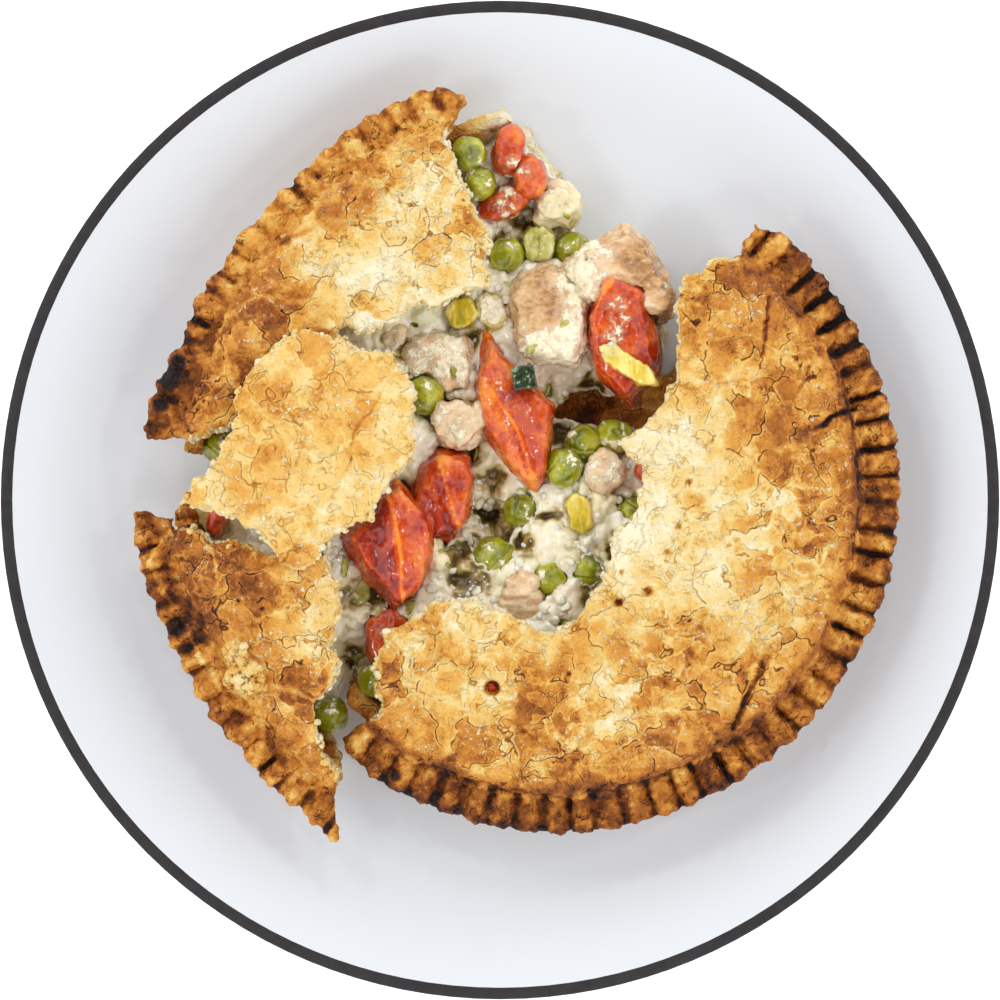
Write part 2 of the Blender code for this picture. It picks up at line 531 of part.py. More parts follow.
def make_chunks():
    """Every piece in the filling that shows, largest kinds first. Later pieces give way to earlier ones."""
    chunks = []
    for i, (outline, low, high, tilt, lean) in enumerate(CARROTS, 1):
        chunks.append(block(f"carrot_{i}", material("carrot", CARROT), outline, low, high, tilt, 0.80, lean))
    for i, sizes in enumerate(PEAS, 1):
        chunks.append(pea(f"pea_{i}", *sizes))
    for name, look, outline, low, high, tilt, waist in GREENS[:3]:
        chunks.append(block(name, material(name[:-2], look), outline, low, high, tilt, waist))
    for i, (outline, low, high, tilt, lean) in enumerate(CHICKEN_PIECES, 1):
        chunks.append(block(f"chicken_{i}", material("chicken", CHICKEN), outline, low, high, tilt, 0.78, lean))
    for name, look, outline, low, high, tilt, waist in GREENS[3:]:
        chunks.append(block(name, material(name[:-2], look), outline, low, high, tilt, waist))
    return chunks


# ---- Sauce ----


def filling_outline():
    """Inside each piece of case it follows the wall, and between them it lies open on the plate."""
    right = arc(RIGHT_CENTRE, RIGHT_RADIUS - LINING, 47, -136)
    lower = arc(LOWER_CENTRE, LOWER_RADIUS - LINING, 223, 195)
    upper = arc(UPPER_CENTRE, UPPER_RADIUS - LINING, 163, 115)
    to_lower = metres([(-33.0, -35.5), (-37.5, -44.0)])
    to_upper = metres([(-60.0, -3.0), (-55.0, 5.0), (-57.0, 14.0)])
    open_side = metres([
        (-2.0, 83.0), (4.0, 82.0), (10.0, 76.0), (14.5, 70.5), (15.5, 65.0), (17.0, 59.0), (28.0, 59.0), (35.5, 49.0),
        (37.0, 38.0), (34.0, 29.0), (27.0, 24.5), (20.0, 26.5), (13.5, 25.0), (11.5, 17.5), (18.0, 16.5),
        (28.0, 16.5), (32.5, 12.5), (38.5, 15.0), (44.0, 25.0), (45.5, 36.0), (47.0, 46.0),
    ])
    return right + to_lower + lower + to_upper + upper + open_side


# Place, reach and level in millimetres: hollows in the heap where the dark shows, and rises that carry the large pieces.
LEVELS = [
    ((-2.5, -4.0), 6.0, 5.0), ((5.0, 64.0), 6.0, 8.0), ((-26.0, -45.0), 8.0, 9.0), ((-36.0, -36.0), 7.0, 7.0),
    ((-10.0, 47.0), 7.0, 9.0), ((12.0, 42.0), 10.0, 17.0), ((29.0, 40.0), 10.0, 17.0), ((4.0, 20.0), 9.0, 16.0),
    ((-24.0, -10.0), 9.0, 16.5), ((3.0, 76.0), 8.0, 16.0), ((-12.0, 28.0), 9.0, 15.0), ((16.0, -2.0), 8.0, 15.0),
    ((8.0, -20.0), 9.0, 16.0), ((-12.0, 8.0), 8.0, 14.5), ((-45.0, 60.0), 30.0, 28.0), ((-52.0, -25.0), 20.0, 28.0),
    ((55.0, -5.0), 30.0, 28.0), ((15.0, -48.0), 26.0, 28.0), ((48.0, -35.0), 20.0, 28.0),
]


def edge_distance(x, y, outline):
    here = Vector((x, y))
    best = 1.0
    for start, stop in zip(outline, outline[1:] + outline[:1]):
        a, b = Vector(start), Vector(stop)
        along = max(0.0, min(1.0, (here - a).dot(b - a) / (b - a).length_squared))
        best = min(best, (here - a.lerp(b, along)).length)
    return best


def heap_height(x, y, outline):
    """The level of the filling: a blend of the levels near a point, uneven, and lower towards its free edge."""
    total, weight = 13.5 * MM * 0.05, 0.05
    for (cx, cy), reach, level in LEVELS:
        share = math.exp(-((x - cx * MM) ** 2 + (y - cy * MM) ** 2) / (reach * MM) ** 2)
        total += level * MM * share
        weight += share
    height = min(total / weight + wave(x, y, HEAP_WAVE_LENGTH, HEAP_WAVE), HEAP_TOP)
    return min(height, HEAP_EDGE + HEAP_SLOPE * edge_distance(x, y, outline))


def make_filling(cutters):
    """The sauce and its small bits, on the plate and inside the case, cut back from everything else."""
    outline = filling_outline()
    xs = [p[0] for p in outline]
    ys = [p[1] for p in outline]
    columns = math.ceil((max(xs) - min(xs)) / HEAP_CELL) + 2
    rows = math.ceil((max(ys) - min(ys)) / HEAP_CELL) + 2
    bm = bmesh.new()
    bmesh.ops.create_grid(bm, x_segments=columns, y_segments=rows, size=0.5)
    middle = ((max(xs) + min(xs)) / 2, (max(ys) + min(ys)) / 2)
    for vert in bm.verts:
        vert.co.x = middle[0] + vert.co.x * columns * HEAP_CELL
        vert.co.y = middle[1] + vert.co.y * rows * HEAP_CELL
        vert.co.z = FLOOR_Z + heap_height(vert.co.x, vert.co.y, outline)
    raised = bmesh.ops.extrude_face_region(bm, geom=bm.faces[:])
    for item in raised["geom"]:
        if isinstance(item, bmesh.types.BMVert):
            item.co.z = FLOOR_Z + BASE_LIFT
    bmesh.ops.dissolve_limit(bm, angle_limit=0.01, verts=bm.verts, edges=bm.edges)
    heap = add_object("filling", bm, material("sauce", SAUCE))
    cut_with(heap, prism("ladle", outline, FLOOR_Z - MM, FLOOR_Z + 60 * MM, heap.data.materials[0]), "INTERSECT")
    trim(heap, cutters)
    return heap


def main():
    clear_scene()
    make_plate()
    cases = [
        ("crust_right", RIGHT_SWEEP, RIGHT_LID_TEAR, RIGHT_BASE_TEAR, RIGHT_BEYOND),
        ("crust_upper_left", UPPER_SWEEP, UPPER_LID_TEAR, UPPER_BASE_TEAR, UPPER_BEYOND),
        ("crust_lower_left", LOWER_SWEEP, LOWER_LID_TEAR, LOWER_BASE_TEAR, LOWER_BEYOND),
    ]
    cutters = []
    for name, *shape in cases:
        make_case(name, *shape)
        cutters.append(make_case(name + "_fat", *shape, grow=GAP))
    trim(make_flake("lid_flake"), cutters)
    cutters.append(make_flake("flake_fat", GAP))
    for chunk in make_chunks():
        fat = pea_cutter(chunk) if chunk.name.startswith("pea") else fattened(chunk)
        trim(chunk, cutters)
        cutters.append(fat)
    make_filling(cutters)
    for cutter in cutters:
        bpy.data.objects.remove(cutter)


main()
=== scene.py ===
import math
import random

import bmesh
import bpy
import numpy as np
from mathutils import Euler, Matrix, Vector
from mathutils.bvhtree import BVHTree


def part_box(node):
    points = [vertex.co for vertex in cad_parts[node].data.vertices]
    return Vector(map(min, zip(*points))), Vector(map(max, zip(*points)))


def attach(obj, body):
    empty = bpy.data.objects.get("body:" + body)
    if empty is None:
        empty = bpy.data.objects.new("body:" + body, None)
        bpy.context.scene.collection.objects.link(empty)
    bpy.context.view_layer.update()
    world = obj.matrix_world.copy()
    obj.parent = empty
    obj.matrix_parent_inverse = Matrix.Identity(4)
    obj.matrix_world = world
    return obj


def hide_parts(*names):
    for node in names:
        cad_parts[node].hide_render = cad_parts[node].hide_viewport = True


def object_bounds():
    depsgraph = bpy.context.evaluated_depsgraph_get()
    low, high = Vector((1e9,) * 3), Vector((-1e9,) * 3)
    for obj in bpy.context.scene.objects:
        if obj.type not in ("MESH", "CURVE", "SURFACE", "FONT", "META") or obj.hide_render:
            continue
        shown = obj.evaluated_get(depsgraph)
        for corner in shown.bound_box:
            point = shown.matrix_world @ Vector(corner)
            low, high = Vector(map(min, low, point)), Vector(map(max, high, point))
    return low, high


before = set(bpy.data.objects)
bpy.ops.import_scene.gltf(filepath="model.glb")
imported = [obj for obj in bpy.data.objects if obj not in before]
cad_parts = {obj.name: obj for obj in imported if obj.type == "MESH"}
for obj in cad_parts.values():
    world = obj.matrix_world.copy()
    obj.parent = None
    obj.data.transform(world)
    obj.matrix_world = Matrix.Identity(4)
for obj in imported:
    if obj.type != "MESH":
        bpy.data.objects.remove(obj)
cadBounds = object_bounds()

# A chicken pot pie, broken open on its plate. Everything is in metres; mm turns a millimetre into them.

mm = 0.001
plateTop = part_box("filling")[0][2] - 0.3 * mm  # the plate's floor, under the pie
nodeNames = sorted(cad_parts)


# Selecting, copying and joining

def deselectAll():
    if bpy.context.object and bpy.context.object.mode != "OBJECT":
        bpy.ops.object.mode_set(mode="OBJECT")
    bpy.ops.object.select_all(action="DESELECT")


def makeActive(piece):
    deselectAll()
    piece.select_set(True)
    bpy.context.view_layer.objects.active = piece


def editAll(piece):
    makeActive(piece)
    bpy.ops.object.mode_set(mode="EDIT")
    bpy.ops.mesh.select_all(action="SELECT")


def joinPieces(pieces, name):
    deselectAll()
    for piece in pieces:
        piece.select_set(True)
    bpy.context.view_layer.objects.active = pieces[0]
    if len(pieces) > 1:
        bpy.ops.object.join()
    pieces[0].name = name
    pieces[0].data.name = name
    return pieces[0]


def copyNodes(nodes, name):
    # a merged copy of some CAD nodes as one piece
    copies = []
    for node in nodes:
        copied = bpy.data.objects.new(name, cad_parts[node].data.copy())
        copied.data.materials.clear()
        bpy.context.scene.collection.objects.link(copied)
        copies.append(copied)
    piece = joinPieces(copies, name)
    editAll(piece)
    bpy.ops.mesh.remove_doubles(threshold=0.005 * mm)
    bpy.ops.mesh.normals_make_consistent(inside=False)
    bpy.ops.object.mode_set(mode="OBJECT")
    return piece


def applyModifier(piece, kind, **settings):
    makeActive(piece)
    modifier = piece.modifiers.new(kind.lower(), kind)
    for key, value in settings.items():
        setattr(modifier, key, value)
    bpy.ops.object.modifier_apply(modifier=modifier.name)


def voxelRemesh(piece, size):
    applyModifier(piece, "REMESH", mode="VOXEL", voxel_size=size, adaptivity=0.0)


# Reading and moving vertices, all at once

def getPoints(piece):
    points = np.empty(len(piece.data.vertices) * 3)
    piece.data.vertices.foreach_get("co", points)
    return points.reshape(-1, 3)


def setPoints(piece, points):
    piece.data.vertices.foreach_set("co", points.astype(np.float32).ravel())
    piece.data.update()


def getNormals(piece):
    normals = np.empty(len(piece.data.vertices) * 3)
    piece.data.vertices.foreach_get("normal", normals)
    return normals.reshape(-1, 3)


def getEdges(piece):
    edges = np.empty(len(piece.data.edges) * 2, dtype=np.int64)
    piece.data.edges.foreach_get("vertices", edges)
    return edges.reshape(-1, 2)


def blur(values, edges, rounds):
    # each vertex takes the mean of its neighbours
    ends = np.concatenate([edges[:, 0], edges[:, 1]])
    others = np.concatenate([edges[:, 1], edges[:, 0]])
    count = np.maximum(np.bincount(ends, minlength=len(values)), 1)
    flat = values.reshape(len(values), -1)
    for _ in range(rounds):
        sums = [np.bincount(ends, weights=flat[others, i], minlength=len(values)) for i in range(flat.shape[1])]
        flat = 0.5 * flat + 0.5 * np.stack(sums, axis=1) / count[:, None]
    return flat.reshape(values.shape)


def getFaces(piece):
    # the middle and the normal of every face
    middles = np.empty(len(piece.data.polygons) * 3)
    normals = np.empty(len(piece.data.polygons) * 3)
    piece.data.polygons.foreach_get("center", middles)
    piece.data.polygons.foreach_get("normal", normals)
    return middles.reshape(-1, 3), normals.reshape(-1, 3)


def refine(piece, chosen):
    # halves the edges of the chosen faces
    editAll(piece)
    bpy.ops.mesh.select_mode(type="FACE")
    bpy.ops.mesh.select_all(action="DESELECT")
    bpy.ops.object.mode_set(mode="OBJECT")
    piece.data.polygons.foreach_set("select", [bool(face) for face in chosen])
    bpy.ops.object.mode_set(mode="EDIT")
    bpy.ops.mesh.subdivide(number_cuts=1)
    bpy.ops.mesh.select_mode(type="VERT")
    bpy.ops.object.mode_set(mode="OBJECT")


def setPaint(piece, name, values):
    attribute = piece.data.attributes.new(name, "FLOAT", "POINT")
    attribute.data.foreach_set("value", values.astype(np.float32))


# Smooth noise and cells for whole arrays of points

def latticeHash(cell, seed):
    mixed = cell[..., 0] * 73856093 ^ cell[..., 1] * 19349663 ^ cell[..., 2] * 83492791 ^ (seed * 2654435761 % 2**31)
    mixed = (mixed ^ (mixed >> 13)) * 1274126177 % 2**31
    return ((mixed ^ (mixed >> 16)) % 65536) / 65535.0


def swell(points, size, seed):
    # smooth noise from -1 to 1, with swells about as wide as size
    place = points / size + seed * 7.31
    cell = np.floor(place).astype(np.int64)
    part = place - cell
    part = part * part * (3 - 2 * part)
    total = np.zeros(len(points))
    for corner in np.ndindex(2, 2, 2):
        share = np.prod(np.where(corner, part, 1 - part), axis=1)
        total += share * latticeHash(cell + np.array(corner), seed)
    return 2 * total - 1


def ripple(points, size, seed, layers=3):
    # swells with finer ones on them
    total = sum(swell(points, size / 2**i, seed + i) / 1.8**i for i in range(layers))
    return total / 1.6


def lumpCells(points, size, seed):
    # the distance to the nearest of some scattered centres and to the next one, in cell sizes, and a chance
    # number for each cell
    place = points / size
    cell = np.floor(place).astype(np.int64)
    nearest = np.full(len(points), 9.0)
    following = np.full(len(points), 9.0)
    chance = np.zeros(len(points))
    for step in np.ndindex(3, 3, 3):
        here = cell + np.array(step) - 1
        centre = here + np.stack([latticeHash(here, seed + 11 * i) for i in range(3)], axis=1)
        gap = np.linalg.norm(place - centre, axis=1)
        following = np.minimum(following, np.maximum(gap, nearest))
        chance = np.where(gap < nearest, latticeHash(here, seed + 77), chance)
        nearest = np.minimum(nearest, gap)
    return nearest, following, chance


def smoothStep(low, high, values):
    share = np.clip((values - low) / (high - low), 0, 1)
    return share * share * (3 - 2 * share)


def lineDistance(points, line):
    # how far each point lies, seen from above, from a broken line given in millimetres
    flat = points[:, :2] / mm
    best = np.full(len(points), 1e3)
    for start, stop in zip(line, line[1:]):
        a, b = np.array(start, float), np.array(stop, float)
        share = np.clip((flat - a) @ (b - a) / ((b - a) @ (b - a)), 0, 1)
        best = np.minimum(best, np.linalg.norm(flat - a - share[:, None] * (b - a), axis=1))
    return best


def depthInside(points, outline):
    # how far each point lies inside a closed outline, seen from above, and less than 0 outside it
    x, y = points[:, 0] / mm, points[:, 1] / mm
    inside = np.zeros(len(points), bool)
    for (ax, ay), (bx, by) in zip(outline, outline[1:] + outline[:1]):
        crosses = (ay > y) != (by > y)
        inside ^= crosses & (x < ax + (bx - ax) * (y - ay) / (by - ay + 1e-9))
    away = lineDistance(points, outline + outline[:1])
    return np.where(inside, away, -away)


def ringLine(centre, radius, start, stop, step=4):
    # points along a circle between two angles, in millimetres
    turns = np.radians(np.linspace(start, stop, max(2, int(abs(stop - start) / step))))
    return [(centre[0] + radius * math.cos(turn), centre[1] + radius * math.sin(turn)) for turn in turns]


def spotSum(points, spots):
    # soft round spots of (x, y, reach, amount), in millimetres
    flat = points[:, :2] / mm
    total = np.zeros(len(points))
    for x, y, reach, amount in spots:
        total += amount * np.exp(-((flat[:, 0] - x) ** 2 + (flat[:, 1] - y) ** 2) / reach**2)
    return total


# Materials: one for each kind of food, built from the same few nodes

def addNode(tree, kind, values=None, links=None, **settings):
    node = tree.nodes.new(kind)
    for key, value in settings.items():
        setattr(node, key, value)
    for key, value in (values or {}).items():
        node.inputs[key].default_value = value
    for key, source in (links or {}).items():
        tree.links.new(source, node.inputs[key])
    return node


def addMath(tree, operation, first, second=None, third=None, clamp=False):
    node = addNode(tree, "ShaderNodeMath", operation=operation, use_clamp=clamp)
    for socket, value in zip(node.inputs, (first, second, third)):
        if isinstance(value, (int, float)):
            socket.default_value = value
        elif value is not None:
            tree.links.new(value, socket)
    return node.outputs[0]


def addSwing(tree, value, amount, base):
    # base, plus or minus a share of how far the noise is from its middle
    return addMath(tree, "MULTIPLY_ADD", addMath(tree, "SUBTRACT", value, 0.5), amount, base)


def addMix(tree, share, first, second, blend="MIX"):
    node = addNode(tree, "ShaderNodeMix", data_type="RGBA", blend_type=blend, clamp_factor=True)
    for socket, value in zip((node.inputs[0], node.inputs[6], node.inputs[7]), (share, first, second)):
        if isinstance(value, tuple):
            socket.default_value = (*value, 1.0)
        elif isinstance(value, (int, float)):
            socket.default_value = value
        else:
            tree.links.new(value, socket)
    return node.outputs[2]


def addNoise(tree, vector, scale, detail=3.0, roughness=0.55):
    values = {"Scale": scale, "Detail": detail, "Roughness": roughness}
    return addNode(tree, "ShaderNodeTexNoise", values, {"Vector": vector}).outputs["Fac"]


def addRange(tree, value, low, high, newLow=0.0, newHigh=1.0):
    values = {"From Min": low, "From Max": high, "To Min": newLow, "To Max": newHigh}
    node = addNode(tree, "ShaderNodeMapRange", values, {"Value": value}, interpolation_type="SMOOTHSTEP")
    return node.outputs[0]


def addRamp(tree, value, stops):
    node = addNode(tree, "ShaderNodeValToRGB", links={"Fac": value})
    ramp = node.color_ramp
    while len(ramp.elements) < len(stops):
        ramp.elements.new(0.5)
    for element, (place, colour) in zip(ramp.elements, stops):
        element.position = place
        element.color = (*colour, 1.0)
    return node.outputs["Color"]


def addAttribute(tree, name):
    return addNode(tree, "ShaderNodeAttribute", attribute_name=name).outputs["Fac"]


def newMaterial(name, values):
    material = bpy.data.materials.new(name)
    material.use_nodes = True
    tree = material.node_tree
    shader = tree.nodes["Principled BSDF"]
    for key, value in values.items():
        shader.inputs[key].default_value = value
    return material, tree, shader


def addBump(tree, shader, height, distance, strength=1.0):
    bump = addNode(tree, "ShaderNodeBump", {"Distance": distance, "Strength": strength}, {"Height": height})
    tree.links.new(bump.outputs[0], shader.inputs["Normal"])


def wear(piece, material):
    piece.data.materials.clear()
    piece.data.materials.append(material)


# Pastry. Bake runs from raw dough through gold and brown to char; painted shade in creases and hollows moves it darker
# too.

pastryLook = {
    "stops": [
        (0.00, (0.87, 0.77, 0.54)), (0.16, (0.83, 0.665, 0.34)), (0.32, (0.785, 0.515, 0.150)), (0.46, (0.69, 0.33, 0.055)),
        (0.60, (0.50, 0.175, 0.020)), (0.74, (0.25, 0.068, 0.008)), (0.88, (0.085, 0.020, 0.004)), (1.0, (0.016, 0.009, 0.008)),
    ],
    "flour": (0.86, 0.75, 0.52), "plates": 112.0, "chips": 270.0,
}


def makePastryMaterial(name, flour, contrast):
    # attributes: the bake value (how brown it baked, darkened further as painted shade in its creases and hollows), and
    # plates (how much the crust shows that it set in plates parted by fine cracks)
    material, tree, shader = newMaterial(name, {"Specular IOR Level": 0.20})
    place = addNode(tree, "ShaderNodeTexCoord").outputs["Object"]
    broad = addNoise(tree, place, 85, 3.0)
    mottle = addNoise(tree, place, 330, 3.0, 0.65)
    grain = addNoise(tree, place, 1300, 2.0, 0.7)
    plates = addAttribute(tree, "plates")
    wandering = addNode(tree, "ShaderNodeTexNoise", {"Scale": 130.0, "Detail": 2.0, "Roughness": 0.62}, {"Vector": place})
    warped = addNode(tree, "ShaderNodeVectorMath", {1: (0.011, 0.011, 0.011)}, {0: wandering.outputs["Color"], 2: place}, operation="MULTIPLY_ADD").outputs[0]
    bakeAndShade = addSwing(tree, broad, 0.30 * contrast, addAttribute(tree, "bakeAndShade"))
    bakeAndShade = addSwing(tree, mottle, 0.24 * contrast, bakeAndShade)
    bakeAndShade = addSwing(tree, grain, 0.20, bakeAndShade)
    height = addMath(tree, "MULTIPLY_ADD", mottle, 0.8, addMath(tree, "MULTIPLY", grain, 0.75))
    cracks = None
    where = addRange(tree, addNoise(tree, place, 48, 1.0), 0.44, 0.60)
    broken = addRange(tree, addNoise(tree, place, 210, 2.0), 0.47, 0.56)
    for scale, share in ((pastryLook["plates"], plates), (pastryLook["chips"], addMath(tree, "MULTIPLY", plates, where))):
        side = addNode(tree, "ShaderNodeTexVoronoi", {"Scale": scale}, {"Vector": warped}, feature="DISTANCE_TO_EDGE").outputs["Distance"]
        shade = addNode(tree, "ShaderNodeTexVoronoi", {"Scale": scale}, {"Vector": warped}).outputs["Color"]
        shade = addNode(tree, "ShaderNodeSeparateColor", links={0: shade}).outputs[0]
        bakeAndShade = addMath(tree, "MULTIPLY_ADD", addMath(tree, "MULTIPLY", addMath(tree, "SUBTRACT", shade, 0.5), 0.24 * contrast), share, bakeAndShade)
        lip = addMath(tree, "MULTIPLY", addRange(tree, addSwing(tree, grain, 0.10, side), 0.13, 0.03), share)
        bakeAndShade = addMath(tree, "MULTIPLY_ADD", lip, -0.09, bakeAndShade)
        thin = addRange(tree, addSwing(tree, grain, 0.03, side), 0.022, 0.010)
        core = addMath(tree, "MULTIPLY", addMath(tree, "MULTIPLY", thin, broken), share)
        cracks = core if cracks is None else addMath(tree, "MAXIMUM", cracks, core)
        if share is plates:
            height = addMath(tree, "MULTIPLY_ADD", addMath(tree, "MINIMUM", side, 0.10), addMath(tree, "MULTIPLY", share, 3.5), height)
    blotch = addRange(tree, addNoise(tree, place, 150, 4.0, 0.62), 0.48, 0.56)
    fissure = addNode(tree, "ShaderNodeTexVoronoi", {"Scale": 430.0}, {"Vector": warped}, feature="DISTANCE_TO_EDGE").outputs["Distance"]
    fissure = addMath(tree, "MULTIPLY", addRange(tree, addSwing(tree, grain, 0.22, fissure), 0.05, 0.0), addRange(tree, mottle, 0.50, 0.62))
    bakeAndShade = addMath(tree, "MULTIPLY_ADD", blotch, -0.10, addMath(tree, "ADD", bakeAndShade, 0.085))
    fissure = addMath(tree, "MULTIPLY", fissure, addRange(tree, plates, 0.5, 0.0, 0.6, 1.4))
    # painted shade: the fine fissures and the cracks between plates are drawn darker
    bakeAndShade = addMath(tree, "MULTIPLY_ADD", fissure, 0.17, bakeAndShade)
    bakeAndShade = addMath(tree, "MULTIPLY_ADD", cracks, 0.12 + 0.22 * contrast, bakeAndShade, clamp=True)
    colour = addRamp(tree, bakeAndShade, pastryLook["stops"])
    crumbs = addRange(tree, addNoise(tree, place, 950, 2.0, 0.6), 0.59, 0.64)
    crumbs = addMath(tree, "MULTIPLY", crumbs, addRange(tree, addNoise(tree, place, 120, 2.0), 0.44, 0.62, 0.06, 1.0))
    crumbs = addMath(tree, "MULTIPLY", crumbs, addRange(tree, plates, 0.0, 0.5, 0.35, 1.0))
    crumbs = addMath(tree, "MULTIPLY", crumbs, addRange(tree, bakeAndShade, 0.80, 0.50, 0.0, flour))
    colour = addMix(tree, crumbs, colour, pastryLook["flour"])
    tree.links.new(colour, shader.inputs["Base Color"])
    tree.links.new(addRange(tree, broad, 0.35, 0.65, 0.42, 0.65), shader.inputs["Roughness"])
    height = addMath(tree, "MULTIPLY_ADD", blotch, 0.22, height)
    height = addMath(tree, "MULTIPLY_ADD", crumbs, 0.45, height)
    height = addMath(tree, "MULTIPLY_ADD", fissure, -0.6, height)
    height = addMath(tree, "MULTIPLY_ADD", cracks, -0.8, height)
    addBump(tree, shader, height, (0.35 + 0.4 * contrast) * mm, 1.0)
    return material


crimp = {"pitch": 6.5, "groovePlace": 0.81, "ridgePlace": 0.31, "rim": 9.4, "depth": 1.1, "crown": 0.5}
tears = {}


def rimMarks(points, settings):
    # how far each point lies from the nearest fork groove and from the middle of the nearest ridge, in millimetres
    first, last = settings["sweep"]
    radius = settings["rimRadius"]
    count = round(math.radians(last - first) * radius / crimp["pitch"])
    pitch = (last - first) / count
    angle = np.degrees(np.arctan2(points[:, 1] / mm - settings["rimCentre"][1], points[:, 0] / mm - settings["rimCentre"][0]))
    place = (np.where(angle < first - 2, angle + 360, angle) - first) / pitch
    groove = place - crimp["groovePlace"]
    ridge = place - crimp["ridgePlace"]
    number = np.rint(groove).astype(np.int64)
    chance = np.stack([number, number * 3, number * 7], axis=1)
    aside = (latticeHash(chance, 8) - 0.5) * settings["jitter"]
    strength = 0.25 + 0.75 * latticeHash(chance, 5)
    toMiddle = np.abs(ridge - np.rint(ridge)) * crimp["pitch"]
    return np.abs(groove - number - aside) * crimp["pitch"], toMiddle, strength


def makeCrust(settings):
    # the CAD piece, remeshed, crimped, cracked, torn, and painted by how it baked and with painted shade in its pits,
    # grooves and cracks
    piece = copyNodes([settings["node"]], settings["name"])
    voxelRemesh(piece, settings["voxel"])
    middles, faceNormals = getFaces(piece)
    refine(piece, (middles[:, 2] > plateTop + 13.5 * mm) & (faceNormals[:, 2] > -0.3))
    edges = getEdges(piece)
    points = getPoints(piece)
    centre = np.array([*settings["rimCentre"], 0.0]) * mm
    outward = (points - centre) * (1, 1, 0)
    reach = np.linalg.norm(outward, axis=1)
    outward /= reach[:, None]
    inward = settings["rimRadius"] - reach / mm
    high = smoothStep(plateTop + 13.5 * mm, plateTop + 16 * mm, points[:, 2])
    onRim = smoothStep(crimp["rim"] + 1.0, crimp["rim"] - 1.0, inward) * high
    points = blur(points, edges, settings["softening"])
    points += (blur(points, edges, 14) - points) * (onRim * settings["worn"])[:, None]
    # no tear or crimp is left straight: everything drifts sideways a little, most where it broke
    broken = blur((smoothStep(0.7, 0.3, np.abs(getNormals(piece)[:, 2])) * (inward > 11)).astype(float), edges, 6)
    shift = np.zeros_like(points)
    for axis in (0, 1):
        shift[:, axis] = 0.8 * ripple(points, 9 * mm, 31 + 7 * axis, 3)
        shift[:, axis] += (0.2 + 1.3 * broken) * ripple(points * (1, 1, 1.8), 3.0 * mm, 61 + 7 * axis, 3)
    points = points + shift * (settings["drift"] * (1 - 0.6 * onRim) * mm)[:, None]
    for x, y, size, moveX, moveY in settings["pulls"]:
        share = np.exp(-((points[:, 0] / mm - x) ** 2 + (points[:, 1] / mm - y) ** 2) / size**2)
        points[:, 0] += share * moveX * mm
        points[:, 1] += share * moveY * mm
    # the fork's marks
    toGroove, toMiddle, strength = rimMarks(points, settings)
    strength = strength * np.clip(1 + spotSum(points, settings["faint"]), 0.15, 1.1)
    wander = ripple(points, 4.5 * mm, 19, 2)
    length = settings["grooveLength"]
    groove = smoothStep(1.7, 0.2, toGroove + 0.5 * wander) * strength * high
    groove *= smoothStep(-0.2, 1.5, inward) * smoothStep(length + 1.4, length - 0.4, inward + 0.8 * wander)
    crown = smoothStep(3.1, 0.6, toMiddle) * onRim * smoothStep(length + 1.0, length - 1.0, inward)
    crevice = smoothStep(0.85, 0.15, toGroove + 0.45 * wander) * strength * high * smoothStep(length + 0.8, length - 0.6, inward)
    points[:, 2] += (crimp["crown"] * crown - (crimp["depth"] * groove + 0.6 * crevice) * settings["forked"]) * mm
    lobes = settings["lobes"] * (0.5 * crown - 0.3) + settings["bulges"] * ripple(points, 10 * mm, 21, 3)
    points += outward * (lobes * smoothStep(5.0, 0.5, inward) * high * mm)[:, None]
    setPoints(piece, points)
    normals = getNormals(piece)
    up = normals[:, 2]
    facing = smoothStep(0.0, 0.5, up)
    # plates of crust that were lapped over or lifted, each with a paler torn lip
    lifted = np.zeros(len(points))
    torn = np.zeros(len(points))
    for outline, rise, ragged, tone, lip in settings["layers"]:
        wobble = ragged * (ripple(points, 3.5 * mm, 23, 2) + 0.6 * ripple(points, 1.4 * mm, 24, 2))
        inside = depthInside(points, outline) + wobble
        share = smoothStep(-0.3, 0.5, inside) * facing
        level = rise(points, inward) if callable(rise) else points[:, 2] + rise * mm
        points[:, 2] += share * np.maximum(level - points[:, 2], 0)
        lifted += share * tone
        edge = smoothStep(1.6, 0.3, np.abs(inside + 0.2)) * smoothStep(-0.9, -0.2, inside)
        torn = np.maximum(torn * (1 - share), edge * facing * lip)
    # cracks and lumps
    inLid = smoothStep(settings["lidStart"] - 1.0, settings["lidStart"] + 1.0, inward) * facing * (1 - broken)
    rough = 0.50 * ripple(points, 11 * mm, 3, 3) + 0.28 * ripple(points, 3.2 * mm, 5, 3)
    crumbly = np.maximum(broken, torn)
    lump = (0.5 - lumpCells(points, 1.9 * mm, 13)[0]) * (0.18 + 1.3 * crumbly + 0.95 * onRim * (1 - groove))
    push = (rough * (1 + 0.8 * onRim * settings["worn"]) + lump) * settings["relief"]
    depth = np.zeros(len(points))
    meander = np.stack([ripple(points, 4 * mm, seed, 3) for seed in (107, 109, 111)], axis=1) * (1.1 * mm)
    pinch = 0.75 + 0.55 * ripple(points, 5 * mm, 113, 2)
    for line, width, deep in settings["cracks"]:
        away = lineDistance(points + meander, line)
        depth = np.maximum(depth, deep * np.clip(pinch, 0, 2) * smoothStep(width, 0.2 * width, away))
    for x, y, size, deep in settings["holes"]:
        away = np.hypot(points[:, 0] / mm - x, points[:, 1] / mm - y)
        depth = np.maximum(depth, deep * smoothStep(size, 0.45 * size, away + 0.25 * wander))
    depth *= facing
    points = points + normals * ((push - depth) * mm)[:, None]
    points[:, 2] = np.maximum(points[:, 2], plateTop + 0.2 * mm)
    setPoints(piece, points)
    pit = np.clip(np.sum((blur(points, edges, 8) - points) * getNormals(piece), axis=1) / mm, -0.5, 0.5)
